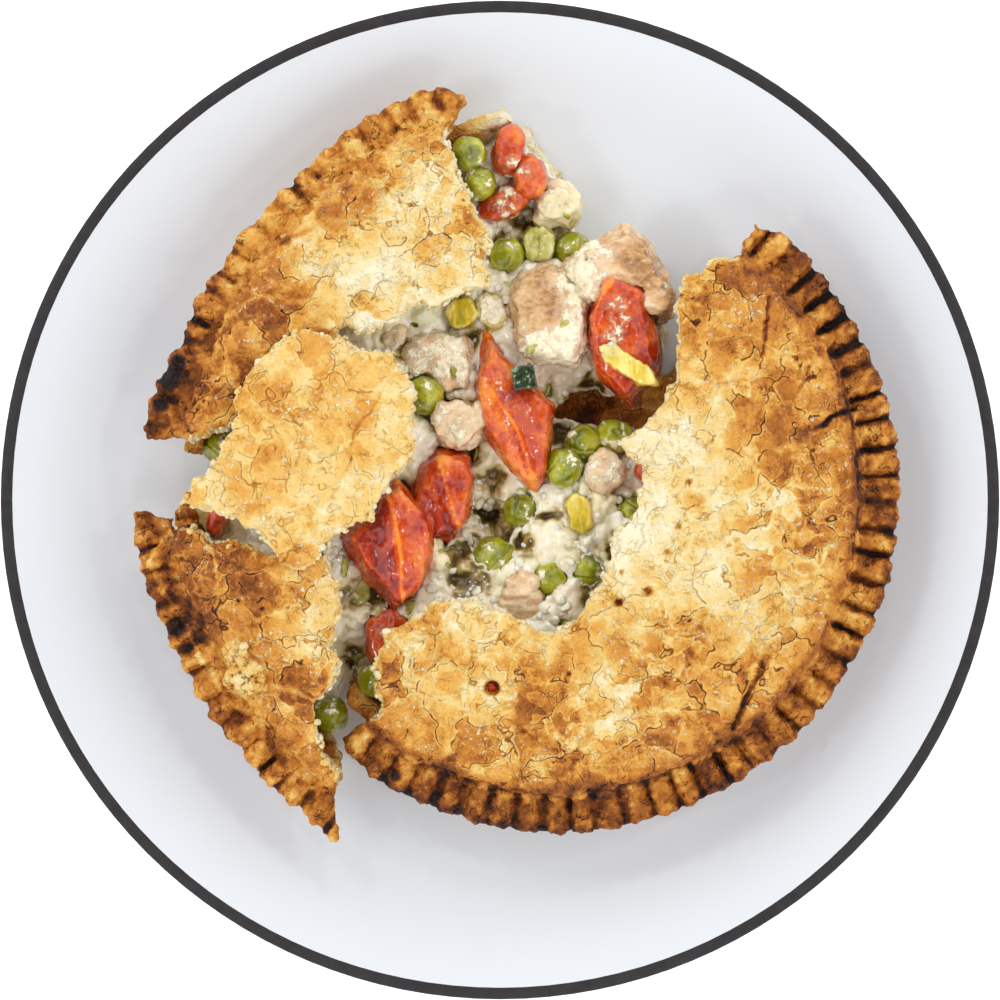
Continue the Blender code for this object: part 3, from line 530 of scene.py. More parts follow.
    # baking: brown on the rim, gold on the shoulder, paler inward, raw in the breaks
    base = np.interp(inward, *zip(*settings["bakeAndShade"]))
    base += 0.14 * ripple(points, 18 * mm, 41, 2) + 0.12 * ripple(points, 6 * mm, 43, 2) + spotSum(points, settings["spots"])
    base += lifted - 0.30 * torn
    # painted shade: darker in pits and in the fork's grooves and the crevices along them; the ridge crowns a little
    # paler
    base += pit * np.where(onRim > 0.5, 0.22, 0.05) + settings["grooveShade"] * groove - 0.05 * crown
    base += onRim * (0.20 * ripple(points, 2.6 * mm, 45, 2) + settings["creviceShade"] * crevice)
    # painted shade: darker deep in the cracks and vent holes
    base += 0.32 * np.clip(depth, 0, 1.3)
    raw = 0.05 + 0.12 * ripple(points, 3 * mm, 47, 2)
    bare = np.maximum(broken * smoothStep(0.85, 0.5, up), smoothStep(0.2, -0.3, up) * (inward > 14)) * high
    base = base + (raw - base) * np.clip(bare, 0, 1)
    # the crust's floor low under the filling takes one tone; in the right crust's hollow its brown and the spot
    # darkening it are painted shade, while other spots lighten it as the crust's own tone
    floorTone = settings["floorTone"] + 0.12 * ripple(points, 8 * mm, 49, 2) + spotSum(points, settings["floorShadeAndTone"])
    base = np.where((points[:, 2] < plateTop + 9 * mm) & (inward > 15), floorTone, base)
    char = spotSum(points, settings["chars"])
    base = np.maximum(base, np.clip(char + 0.25 * ripple(points, 2.5 * mm, 53, 2) * (char > 0.2), 0, 1))
    setPaint(piece, "bakeAndShade", np.clip(base, 0, 1))
    setPaint(piece, "plates", np.clip(inLid * (1 - torn) * np.interp(inward, *zip(*settings["plates"])), 0, 1))
    rare = latticeHash((points / (0.7 * mm)).astype(np.int64), 91) < 0.2
    edgeSpots = ((broken * high > 0.45) | ((torn > 0.6) & rare)) & (getNormals(piece)[:, 2] > -0.2) & (points[:, 2] > plateTop + 12 * mm)
    tears[settings["name"]] = (points[edgeSpots], getNormals(piece)[edgeSpots], np.clip(base[edgeSpots] * 0.85, 0.05, 0.55))
    makeActive(piece)
    bpy.ops.object.shade_smooth()
    wear(piece, settings["material"])
    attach(piece, "root")
    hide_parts(settings["node"])
    print(settings["name"], sum(len(face.vertices) - 2 for face in piece.data.polygons), "triangles")
    return piece


pastry = makePastryMaterial("bakedPastry", 0.75, 1.0)
palePastry = makePastryMaterial("palePastry", 0.9, 0.55)


def leafLevel(points, inward):
    # the lapped leaf at the lower right slopes from the lid out over the rim
    return plateTop + (24.6 + 0.36 * np.clip(inward, 3, 20) + 0.5 * ripple(points, 8 * mm, 25, 2)) * mm


leafCrease = [(67.9, -26.1), (62.5, -27.5), (58.9, -31.0), (58.2, -36.0), (58.9, -39.4), (56.0, -45.5), (53.4, -51.2)]
leafOutline = leafCrease + ringLine((13.0, 2.1), 68.2, -53, -25)

def lidLevel(points, inward):
    # the lid's edge stands a little proud of the crimped rim
    return points[:, 2] + 1.0 * mm * smoothStep(24, 9.5, inward)


lidEdge = ringLine((13.0, 2.1), 69.5, -121, -58) + ringLine((13.0, 2.1), 54.0, -58, -121)
lidSide = ringLine((13.0, 2.1), 69.5, -22, 30) + ringLine((13.0, 2.1), 54.0, 30, -22)

rightCrust = {
    "node": "crust_right", "name": "rightCrust", "voxel": 1.05 * mm, "softening": 3, "drift": 1.0, "lobes": 0.2, "bulges": 0.35, "forked": 1.25,
    "rimCentre": (13.0, 2.1), "rimRadius": 78.4, "sweep": (-144, 118), "jitter": 0.16, "worn": 0.0, "grooveLength": 9.4,
    "lidStart": 11.5, "grooveShade": 0.08, "creviceShade": 0.20, "relief": 1.0, "faint": [(6, -76, 27, -0.6)],
    "bakeAndShade": [(-3, 0.80), (1.0, 0.74), (3, 0.62), (8, 0.60), (10, 0.63), (12, 0.51), (20, 0.46), (30, 0.40), (40, 0.28), (50, 0.18), (62, 0.12)],
    "plates": [(10, 0.7), (16, 1.0), (32, 1.0), (45, 0.7), (60, 0.5)],
    "pulls": [(61.0, 65.0, 4.0, -2.0, -1.6)],
    "spots": [
        (34, 8, 11, -0.12), (22, -44, 6, -0.20), (50, -14, 9, -0.16), (54, -26, 7, -0.14), (28, -12, 10, -0.06), (-2, -43, 6, -0.14),
        (60, 40, 14, 0.06), (78, 18, 12, 0.03), (68, 20, 14, 0.05), (80, 52, 10, 0.06), (10, -76, 16, 0.20), (46, -70, 12, 0.06), (-20, -40, 8, -0.06),
        (45, 44, 7, 0.12), (45.6, -0.1, 3.0, 0.16), (42, 3, 6, 0.08), (38, -32, 10, 0.10), (52, -38, 9, 0.08), (10, -38, 12, 0.05),
        (76, -4, 12, 0.06), (56, -53, 4, 0.14), (64, -22, 5, -0.10), (-18, -68, 10, 0.16), (46, 4, 9, -0.12), (4, -59, 9, -0.12), (56, -34, 3.5, -0.30), (59, -28, 4, -0.28), (65, -25, 4, -0.16),
        (-9, -37, 8, 0.15), (14, -50, 8, 0.13), (50, -42, 7, 0.06), (5, -60, 6, -0.05),
    ],
    "chars": [(-23.7, -62.6, 2.6, 1.0), (38, -68.5, 1.6, 0.8)],
    # the floor tone and the spot at (22, 20) are painted shade in the hollow under the filling
    "floorTone": 0.46, "floorShadeAndTone": [(22, 20, 15, 0.29), (-30, -46, 8, -0.40)],
    "layers": [(lidEdge, lidLevel, 0.9, 0.0, 0.35), (lidSide, lidLevel, 0.9, 0.0, 0.35), (leafOutline, leafLevel, 0.5, -0.04, 0.0)],
    "cracks": [
        ([(71.8, 16.2), (75, 18.5), (80.5, 21.2)], 0.9, 1.2), ([(61.2, 46.3), (60.4, 40), (59.1, 33.1)], 0.7, 0.9),
        ([(58.6, -37.5), (58.9, -39.4), (56.0, -45.5), (53.4, -51.6)], 1.1, 1.5), ([(70, 30.0), (68.5, 25.5)], 0.6, 0.6),
        ([(42, 30), (50, 26), (58, 27)], 0.5, 0.35), ([(2, -50), (10, -56), (20, -58)], 0.5, 0.3),
        (ringLine((13.0, 2.1), 69.4, -116, -92), 0.9, 0.9), (ringLine((13.0, 2.1), 69.4, -84, -64), 0.9, 1.0),
        (ringLine((13.0, 2.1), 69.0, -12, 22), 0.8, 0.8),
    ],
    "holes": [
        (-1.8, -42.6, 2.1, 3.4), (26.9, -23.2, 1.3, 1.3), (33.6, -20.7, 1.5, 1.2), (40.5, -6.0, 0.9, 0.9), (38.0, -11.8, 1.0, 0.9),
        (27.5, -16.3, 0.9, 0.8), (42.8, 4.1, 0.9, 0.9), (15.5, -39.5, 0.7, 0.9),
    ],
    "material": pastry, "slot": "pastry",
}
upperBrown = [(-42.2, 68.7), (-34.7, 74.7), (-33.2, 72.7), (-26.7, 70.7), (-27.0, 66.6), (-30.2, 63.7), (-38.2, 63.7), (-42.7, 62.2)]
upperGold = [
    (-33.7, 77.8), (-26.2, 79.6), (-15.8, 84.6), (-16.8, 81.1), (-24.3, 78.1), (-20.2, 74.7), (-21.7, 69.7), (-26.0, 67.6),
    (-27.2, 71.2), (-33.2, 73.4),
]
upperLobe = [(-48.6, 57.5), (-40.5, 61.5), (-36.0, 60.5), (-34.5, 55.0), (-41.0, 52.5), (-47.5, 53.0)]
upperLow = [(-66.0, 31.0), (-62.0, 42.0), (-54.0, 46.0), (-44.0, 45.0), (-36.5, 38.0), (-38.5, 30.0), (-48.0, 27.0), (-58.0, 24.0)]
upperCrust = {
    "node": "crust_upper_left", "name": "upperCrust", "voxel": 1.0 * mm, "softening": 3, "drift": 1.1, "lobes": 0.5, "bulges": 1.6, "forked": 0.9,
    "rimCentre": (33.7, -13.4), "rimRadius": 119.1, "sweep": (97, 171), "jitter": 0.5, "worn": 0.9, "grooveLength": 6.0,
    "lidStart": 9.0, "grooveShade": 0.08, "creviceShade": 0.16, "relief": 1.0, "faint": [(-46, 70, 14, -0.3)],
    "bakeAndShade": [(-3, 0.62), (1.2, 0.58), (6, 0.51), (9, 0.47), (12, 0.46), (20, 0.45), (28, 0.37), (36, 0.26), (44, 0.18), (52, 0.12)],
    "plates": [(8, 0.6), (14, 1.0), (40, 1.0), (50, 0.7)],
    "pulls": [(-9.5, 97.0, 5.0, 0.5, -3.2), (-12.5, 88.0, 4.0, 3.0, 0.6)],
    "spots": [
        (-20, 62, 11, -0.12), (-33, 50, 9, -0.18), (-14, 72, 7, -0.14), (-62, 30, 12, 0.08), (-50, 38, 9, 0.06), (-12, 88, 8, 0.10),
        (-55, 26, 8, 0.08), (-16, 56, 6, 0.06), (-26, 40, 5, -0.08), (-80, 16, 6, 0.10), (3, 84, 8, -0.6), (-73, 26, 8, 0.28),
    ],
    "chars": [(-75.6, 27.6, 3.9, 1.2), (-77.6, 21.5, 2.8, 0.95), (-73, 31.5, 2.4, 0.9)],
    "floorTone": 0.16, "floorShadeAndTone": [(2, 84, 16, -0.16)],
    "layers": [(upperBrown, 1.0, 0.6, 0.14, 0.4), (upperGold, 1.0, 0.6, 0.08, 0.5), (upperLobe, 0.8, 0.6, 0.04, 0.5), (upperLow, 0.9, 0.8, 0.06, 0.5)],
    "cracks": [
        ([(-50, 58), (-46, 60), (-42.5, 61.5)], 0.7, 0.6), ([(-30, 78), (-24, 68), (-12, 64)], 0.5, 0.35),
        ([(-70, 22), (-62, 26), (-56, 22)], 0.6, 0.6),
    ],
    "holes": [(-15.8, 60.2, 0.8, 0.8)], "material": pastry, "slot": "pastry",
}
lowerPatch = [(-64.0, -34.0), (-60.0, -32.0), (-57.5, -33.5), (-54.5, -38.0), (-53.0, -43.0), (-57.0, -44.0), (-62.5, -42.0), (-61.0, -38.0)]
lowerLid = [
    (-80.5, -13.8), (-69.0, -34.5), (-63.3, -43.7), (-58.0, -44.5), (-54.7, -42.3), (-46.0, -43.7), (-41.9, -46.0), (-39.1, -43.7),
    (-34.8, -32.2), (-33.7, -23.0), (-37.1, -9.8), (-57.5, -5.2), (-73.6, -4.9),
]
lowerCrust = {
    "node": "crust_lower_left", "name": "lowerCrust", "voxel": 0.95 * mm, "softening": 3, "drift": 1.1, "lobes": 0.9, "bulges": 0.9, "forked": 1.2,
    "rimCentre": (35.5, 21.0), "rimRadius": 123.2, "sweep": (187, 238), "jitter": 0.4, "worn": 0.8, "grooveLength": 5.5,
    "lidStart": 7.5, "grooveShade": 0.10, "creviceShade": 0.20, "relief": 1.0, "faint": [],
    # this piece's bake runs higher than the others' partly as painted shade, for it tilts away from the light
    "bakeAndShade": [(-3, 0.68), (1.2, 0.60), (5, 0.58), (8, 0.52), (12, 0.54), (20, 0.54), (28, 0.44), (36, 0.28), (46, 0.20)],
    "plates": [(8, 0.6), (14, 1.0), (40, 0.9), (50, 0.6)],
    "pulls": [(-87.5, -1.5, 4.0, 3.2, -1.6)],
    # the spot at (-44, -23) is painted shade on this piece's shaded slope
    "spots": [(-42, -26, 8, -0.14), (-58, -18, 12, 0.06), (-66, -12, 8, 0.05), (-42, -62, 6, -0.04), (-50, -48, 8, 0.06), (-44, -40, 5, -0.04), (-71, -28, 6, 0.20), (-64, -18, 10, 0.08), (-44, -23, 7, 0.14)],
    "chars": [(-73.8, -29.0, 3.5, 1.15), (-76.5, -23, 2.0, 0.75)],
    "floorTone": 0.20, "floorShadeAndTone": [],
    "layers": [(lowerLid, 1.1, 0.9, 0.02, 0.6), (lowerPatch, 1.6, 0.8, -0.14, 0.3)],
    "cracks": [([(-68, -12), (-58, -16), (-50, -14)], 0.5, 0.4)],
    "holes": [], "material": pastry, "slot": "pastry",
}
crusts = [makeCrust(rightCrust), makeCrust(upperCrust), makeCrust(lowerCrust)]

# The loose flake of lid. Its rim settings only say which way its tone changes.

looseFlake = {
    "node": "lid_flake", "name": "looseFlake", "voxel": 0.8 * mm, "softening": 2, "drift": 1.2, "lobes": 0.0, "bulges": 0.0, "forked": 0.0,
    "rimCentre": (-42.0, 11.0), "rimRadius": 130.0, "sweep": (0, 180), "jitter": 0.0, "worn": 0.0, "grooveLength": 0.0,
    "lidStart": 0.0, "grooveShade": 0.0, "creviceShade": 0.0, "relief": 0.38, "faint": [],
    "bakeAndShade": [(0, 0.32), (104, 0.32), (114, 0.33), (130, 0.34)], "plates": [(0, 0.75), (130, 0.75)], "pulls": [],
    "spots": [(-46, 28, 10, 0.08), (-30, 12, 12, 0.03), (-54, 0, 9, 0.06), (-36, -6, 8, -0.05), (-24, 18, 5, -0.10)],
    "chars": [], "floorTone": 0.2, "floorShadeAndTone": [], "layers": [],
    "cracks": [([(-26, 26), (-29, 20), (-33, 16), (-34, 8), (-37, 2)], 0.5, 0.35), ([(-50, 22), (-44, 16), (-46, 8)], 0.5, 0.3)],
    "holes": [], "material": palePastry, "slot": "pale_pastry",
}
flake = makeCrust(looseFlake)


# Wet pieces: carrot, chicken, celery, leek, potato and courgette, with sauce lying on them

# deep is the dark brown of painted shade in the sauce's gaps
sauceColours = {"thick": (0.95, 0.87, 0.64), "film": (0.82, 0.58, 0.36), "green": (0.66, 0.65, 0.34), "deep": (0.185, 0.125, 0.022)}


def makeWetMaterial(name, colours, settings):
    # attribute tone moves the colour up and down its ramp and carries painted shade in pits, attribute sauce says how
    # much lies on it
    values = {"Roughness": settings.get("roughness", 0.28), "Coat Weight": settings.get("coat", 0.6), "Coat Roughness": 0.05}
    values.update({"Subsurface Weight": settings.get("glow", 0.12), "Subsurface Scale": 0.002, "Subsurface Radius": (1.0, 0.5, 0.25)})
    values["Specular IOR Level"] = 0.3
    material, tree, shader = newMaterial(name, values)
    coordinates = addNode(tree, "ShaderNodeTexCoord")
    place = coordinates.outputs["Object"]
    up = addNode(tree, "ShaderNodeSeparateXYZ", links={0: coordinates.outputs["Normal"]}).outputs["Z"]
    turned = addNode(tree, "ShaderNodeMapping", {"Scale": settings.get("stretch", (1, 1, 1)), "Rotation": (0, 0, settings.get("turn", 0.0))}, {"Vector": place}).outputs[0]
    broad = addNoise(tree, turned, settings.get("broad", 170.0), 3.0)
    fine = addNoise(tree, turned, settings.get("fine", 850.0), 2.0, 0.62)
    curd = addNoise(tree, place, 900.0, 2.0, 0.6)
    tone = addSwing(tree, broad, settings.get("blotches", 0.9), addAttribute(tree, "tone"))
    tone = addSwing(tree, fine, settings.get("speckle", 0.6), tone)
    # painted light: faces turned up are drawn lighter
    tone = addMath(tree, "MULTIPLY_ADD", addRange(tree, up, 0.15, 0.75), settings.get("paintedTopLight", 0.15), tone)
    colour = addRamp(tree, tone, colours)
    smear = addSwing(tree, addNoise(tree, place, 420.0, 3.0, 0.65), 0.9, addAttribute(tree, "sauce"))
    film = addMath(tree, "MULTIPLY", addRange(tree, smear, 0.30, 0.56), settings.get("filmShare", 0.5))
    blob = addRange(tree, smear, 0.50, 0.64)
    colour = addMix(tree, film, colour, settings.get("film", sauceColours["film"]))
    thick = addMix(tree, addRange(tree, curd, 0.30, 0.60), (0.74, 0.60, 0.38), sauceColours["thick"])
    colour = addMix(tree, blob, colour, thick)
    tree.links.new(colour, shader.inputs["Base Color"])
    height = addMath(tree, "MULTIPLY", fine, settings.get("relief", 0.4))
    height = addMath(tree, "MULTIPLY_ADD", blob, 0.5, height)
    height = addMath(tree, "MULTIPLY_ADD", addMath(tree, "MULTIPLY", curd, blob), 0.9, height)
    height = addMath(tree, "MULTIPLY_ADD", addNoise(tree, place, 1500.0, 2.0), 0.25, height)
    addBump(tree, shader, height, 0.45 * mm, 0.8)
    return material


def cover(piece):
    return BVHTree.FromObject(piece, bpy.context.evaluated_depsgraph_get())


def makeChunks(settings):
    # pieces of one kind: remeshed, rounded off, ridged, pushed about and partly covered with thick sauce
    piece = copyNodes(settings["nodes"], settings["name"])
    voxelRemesh(piece, settings["voxel"])
    edges = getEdges(piece)
    points = blur(getPoints(piece), edges, settings["rounding"])
    setPoints(piece, points)
    normals = getNormals(piece)
    push = settings["swell"] + spotSum(points, settings.get("swellSpots", []))
    for size, amount, seed, stretch in settings["relief"]:
        push += amount * ripple(points * np.array(stretch), size * mm, seed, 3)
    push += settings.get("torn", 0.0) * np.tanh(6 * ripple(points, 7 * mm, 139, 3))
    tone = np.full(len(points), settings.get("tone", 0.5)) + 0.2 * ripple(points, 5 * mm, 133, 2)
    for line, rise, reach, left, right in settings.get("ridges", []):
        # a ridge between two cut faces, one face painted lighter and the other darker as painted light and shade, and a
        # painted highlight along it
        away = lineDistance(points, line)
        share = smoothStep(reach, 0, away) * smoothStep(0.1, 0.7, normals[:, 2])
        push += rise * share
        (ax, ay), (bx, by) = line[0], line[-1]
        side = (bx - ax) * (points[:, 1] / mm - ay) - (by - ay) * (points[:, 0] / mm - ax)
        tone += np.where(side > 0, left, right) * smoothStep(reach, 0.7 * reach, away)
        tone += 0.35 * smoothStep(0.6, 0.1, away)
    for outline, shift in settings.get("patches", []):
        tone += shift * smoothStep(-0.5, 1.0, depthInside(points, outline))
    amount = settings["sauce"] + 0.30 * ripple(points, 6 * mm, 135, 2) + 0.22 * ripple(points, 2.0 * mm, 137, 2)
    amount += spotSum(points, settings.get("sauceSpots", [])) - 0.25 * smoothStep(0.5, -0.3, normals[:, 2])
    thick = smoothStep(0.42, 0.62, amount)
    push += thick * (0.35 + 0.9 * np.maximum(0, 0.65 - lumpCells(points, 1.5 * mm, 131)[0]))
    points = points + normals * (push * mm)[:, None]
    setPoints(piece, points)
    pit = np.sum((blur(points, edges, 6) - points) * getNormals(piece), axis=1) / mm
    # painted shade: the tone darkens in pits, and sauce gathers in them
    setPaint(piece, "tone", tone - settings.get("pitShade", 0.3) * pit)
    setPaint(piece, "sauce", amount + 0.3 * pit)
    makeActive(piece)
    bpy.ops.object.shade_smooth()
    wear(piece, settings["material"])
    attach(piece, "root")
    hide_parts(*settings["nodes"])
    print(settings["name"], len(piece.data.polygons), "faces")
    return piece


def nodesNamed(start):
    return [name for name in nodeNames if name.startswith(start)]


carrotLook = [(0.15, (0.20, 0.006, 0.001)), (0.38, (0.42, 0.026, 0.001)), (0.62, (0.64, 0.080, 0.003)), (0.92, (0.84, 0.26, 0.030))]
carrots = makeChunks({
    "name": "carrots", "nodes": nodesNamed("carrot"), "voxel": 0.42 * mm, "rounding": 3, "swell": 0.2, "tone": 0.50,
    "swellSpots": [(3, 79, 5, 0.9), (8, 73, 5, 1.0), (1, 67, 6, 0.9)],
    "relief": [(7, 0.9, 71, (1, 1, 1)), (2.2, 0.34, 73, (1, 1, 1)), (1.3, 0.16, 75, (3, 0.6, 1))], "torn": 0.35,
    "ridges": [
        ([(-25.8, 4.5), (-24.2, -2.0), (-22.4, -13.0), (-22.3, -26.0)], 1.6, 7.5, 0.06, -0.22),
        ([(-2.0, 25.0), (3.7, 16.4), (4.9, 13.0), (7.1, 6.3), (8.1, 2.0)], 1.3, 6.5, -0.12, 0.10),
        ([(-14.4, 12.0), (-12.5, 4.0), (-9.5, -7.0)], 0.8, 3.0, 0.04, -0.20),
        ([(22.0, 45.0), (26.5, 50.5), (33.5, 47.5)], 0.8, 3.5, 0.10, 0.0),
    ],
    "patches": [
        ([(24.5, 27.0), (36.0, 37.5), (38.5, 28.0), (31.0, 20.5), (23.0, 27.0)], -0.22), ([(33.0, 48.0), (37.5, 40.0), (38.5, 28.0), (35.5, 34.0)], -0.16),
        ([(-18.0, 6.0), (-12.8, -4.0), (-14.0, -10.0), (-19.0, -6.0)], -0.18), ([(2, 20), (12, 14), (12, 4), (6, 2), (0, 10)], 0.16), ([(-5, 40), (0, 40), (4, 26), (-3, 20)], 0.12), ([(22, 48), (34, 50), (34, 38), (24, 36)], -0.12),
    ],
    "sauce": 0.05, "sauceSpots": [
        (29, 43, 5, 0.42), (24, 35, 4, 0.30), (2, 22, 4, 0.36), (1, 30, 3.5, 0.22), (7, 7, 3.5, 0.36), (-21, -18, 4, 0.26), (3, 76, 5, 0.52),
        (-9, -3, 4, 0.45), (-13, 2, 3, 0.2), (-26, -32, 5, 0.40), (-33, -2, 5, -0.3), (1, 67, 5, 0.5), (8, 72, 5, 0.28), (27, 37, 3, 0.3),
    ],
    "pitShade": 0.5,
    "material": makeWetMaterial("cookedCarrot", carrotLook, {
        "glow": 0.10, "relief": 0.4, "coat": 0.7, "roughness": 0.24, "filmShare": 0.38, "film": (0.72, 0.22, 0.075), "paintedTopLight": 0.03,
    }),
    "slot": "carrot",
})

chickenLook = [(0.12, (0.32, 0.13, 0.035)), (0.38, (0.58, 0.32, 0.12)), (0.62, (0.76, 0.50, 0.26)), (0.88, (0.88, 0.70, 0.46))]
chicken = makeChunks({
    "name": "chicken", "nodes": nodesNamed("chicken"), "voxel": 0.45 * mm, "rounding": 3, "swell": 0.25, "tone": 0.50,
    "relief": [(9, 1.6, 81, (1, 1, 1)), (3.2, 1.0, 83, (0.8, 1.2, 1)), (1.4, 0.60, 85, (0.75, 1.25, 1))], "torn": 0.5,
    "patches": [
        ([(2.0, 45.0), (6.0, 52.0), (13.0, 50.0), (15.0, 41.0), (11.0, 33.0), (5.0, 35.0)], -0.16),
        ([(20.0, 58.0), (33.0, 60.0), (39.0, 48.0), (39.0, 39.0), (34.0, 46.0), (27.0, 53.0)], -0.32),
        ([(-14.0, 24.0), (-4.0, 24.0), (-4.0, 10.0), (-15.0, 10.0)], 0.16),
    ],
    "sauce": 0.50, "sauceSpots": [
        (8, 45, 5, -0.45), (31, 52, 6, -0.45), (36, 42, 5, -0.35), (18, 50, 5, 0.4), (12, 35, 5, 0.4), (19, 40, 5, 0.35), (5, -22, 5, -0.2),
        (-13, 30, 8, 0.2), (-9, 22, 4, -0.3),
    ],
    "material": makeWetMaterial("cookedChicken", chickenLook, {
        "relief": 0.9, "stretch": (0.8, 1.25, 0.9), "roughness": 0.26, "filmShare": 0.5, "film": (0.80, 0.57, 0.36), "coat": 0.8,
    }),
    "slot": "chicken",
})

celeryLook = [(0.15, (0.18, 0.13, 0.004)), (0.40, (0.42, 0.33, 0.008)), (0.62, (0.68, 0.46, 0.016)), (0.95, (0.88, 0.72, 0.22))]
celery = makeChunks({
    "name": "celery", "nodes": nodesNamed("celery"), "voxel": 0.38 * mm, "rounding": 3, "swell": 0.2, "tone": 0.5,
    "relief": [(3, 0.35, 91, (1, 1, 1)), (1.1, 0.30, 93, (1.6, 0.4, 1))],
    "patches": [
        ([(20.0, 22.0), (38.0, 22.0), (38.0, 40.0), (20.0, 40.0)], 0.06), ([(15.5, 3.0), (21.5, 3.0), (21.5, -4.0), (15.5, -4.0)], 0.08),
        ([(-14.0, 38.0), (-6.0, 38.0), (-6.0, 48.0), (-14.0, 48.0)], -0.18),
    ],
    "sauce": 0.05, "sauceSpots": [(17, 1.5, 1.6, 0.5), (-2, 43, 4, 0.9), (8, 57, 4, 0.45), (25, 36, 3.5, 0.6), (36, 28, 3, 0.45)], "pitShade": 0.6,
    "material": makeWetMaterial("cookedCelery", celeryLook, {"coat": 0.9, "roughness": 0.18, "stretch": (1.8, 0.6, 1), "turn": -1.0, "blotches": 1.3, "film": sauceColours["green"]}),
    "slot": "celery",
})

leekLook = [(0.15, (0.07, 0.045, 0.004)), (0.40, (0.22, 0.20, 0.012)), (0.62, (0.44, 0.40, 0.05)), (0.9, (0.70, 0.66, 0.28))]
leek = makeChunks({
    "name": "leek", "nodes": nodesNamed("leek"), "voxel": 0.4 * mm, "rounding": 3, "swell": 0.2, "tone": 0.52,
    "relief": [(3, 0.6, 95, (1, 1, 1)), (1.2, 0.35, 97, (1.6, 0.4, 1))],
    "patches": [([(-23.0, 14.0), (-14.0, 14.0), (-14.0, 3.0), (-23.0, 3.0)], -0.35)],
    "sauce": 0.32, "sauceSpots": [(-18.6, 8.4, 5, -0.5)], "pitShade": 0.6,
    "material": makeWetMaterial("cookedLeek", leekLook, {"coat": 0.9, "roughness": 0.18, "film": sauceColours["green"]}), "slot": "leek",
})

potatoLook = [(0.15, (0.58, 0.42, 0.15)), (0.45, (0.78, 0.64, 0.33)), (0.75, (0.87, 0.78, 0.52))]
potato = makeChunks({
    "name": "potato", "nodes": nodesNamed("potato"), "voxel": 0.4 * mm, "rounding": 3, "swell": 0.3,
    "relief": [(4, 1.6, 98, (1, 1, 1)), (1.6, 0.7, 99, (1, 1, 1))], "sauce": 0.46, "torn": 1.0,
    "material": makeWetMaterial("cookedPotato", potatoLook, {"glow": 0.25, "film": (0.86, 0.74, 0.46)}), "slot": "potato",
})

courgetteLook = [(0.25, (0.010, 0.020, 0.006)), (0.50, (0.035, 0.060, 0.018)), (0.60, (0.30, 0.38, 0.24)), (0.80, (0.72, 0.76, 0.62))]
courgette = makeChunks({
    "name": "courgette", "nodes": nodesNamed("courgette"), "voxel": 0.3 * mm, "rounding": 2, "swell": 0.1, "tone": 0.33,
    "relief": [(3, 0.25, 101, (1, 1, 1)), (0.9, 0.12, 102, (1, 1, 1))], "sauce": -0.6, "pitShade": 0.3,
    "patches": [([(1.0, 24.0), (2.6, 24.0), (2.6, 32.0), (1.0, 32.0)], 0.20)],
    "material": makeWetMaterial("cookedCourgette", courgetteLook, {"coat": 1.0, "roughness": 0.12, "speckle": 1.3, "blotches": 0.8, "fine": 700.0, "paintedTopLight": 0.0}),
    "slot": "courgette",
})

# Peas: balls with a dent or a crease in the skin

peaShape = {"level": 5, "dent": 0.60, "crease": 0.5}


def makePeas(nodes):
    balls = []
    for number, node in enumerate(nodes):
        low, high = (np.array(corner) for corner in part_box(node))
        deselectAll()
        bpy.ops.mesh.primitive_ico_sphere_add(subdivisions=peaShape["level"], radius=1.0)
        ball = bpy.context.object
        half = np.max(high - low) / 2
        points = getPoints(ball)
        turn = number * 2.4
        dent = np.array([0.40 * math.cos(turn), 0.40 * math.sin(turn), 0.82])
        dent /= np.linalg.norm(dent)
        toDent = points @ dent
        side = np.cross(dent, (math.sin(turn), -math.cos(turn), 0.2))
        side /= np.linalg.norm(side)
        acrossCrease = np.abs(points @ side + 0.16 * ripple(points, 0.6, number, 2))
        dented = 1.0 if number % 4 == 0 else 0.0
        hollow = dented * smoothStep(0.80, 0.97, toDent + 0.14 * ripple(points, 0.5, 210 + number, 2)) + 0.35 * smoothStep(0.6, 1.0, toDent)
        rim = dented * np.exp(-((toDent - 0.78) / 0.07) ** 2)
        push = -peaShape["dent"] * 0.20 * hollow + 0.02 * rim
        push -= peaShape["crease"] * 0.22 * smoothStep(0.10, 0.0, acrossCrease) * smoothStep(0.0, 0.5, toDent) * (1 - dented)
        push += 0.12 * ripple(points, 0.9, 200 + number, 2) + 0.06 * ripple(points, 0.35, 300 + number, 2)
        points = points * (1 + push)[:, None] * half + (low + high) / 2
        points[:, 2] -= (1 - (high - low)[2] / (2 * half)) * 0.2 * half
        setPoints(ball, points)
        # the dent is painted darker as shade in it, and the ring round it paler
        setPaint(ball, "tone", 0.16 * math.sin(number * 1.7) - 0.25 * hollow * dented + 0.35 * rim)
        balls.append(ball)
    return joinPieces(balls, "peas")


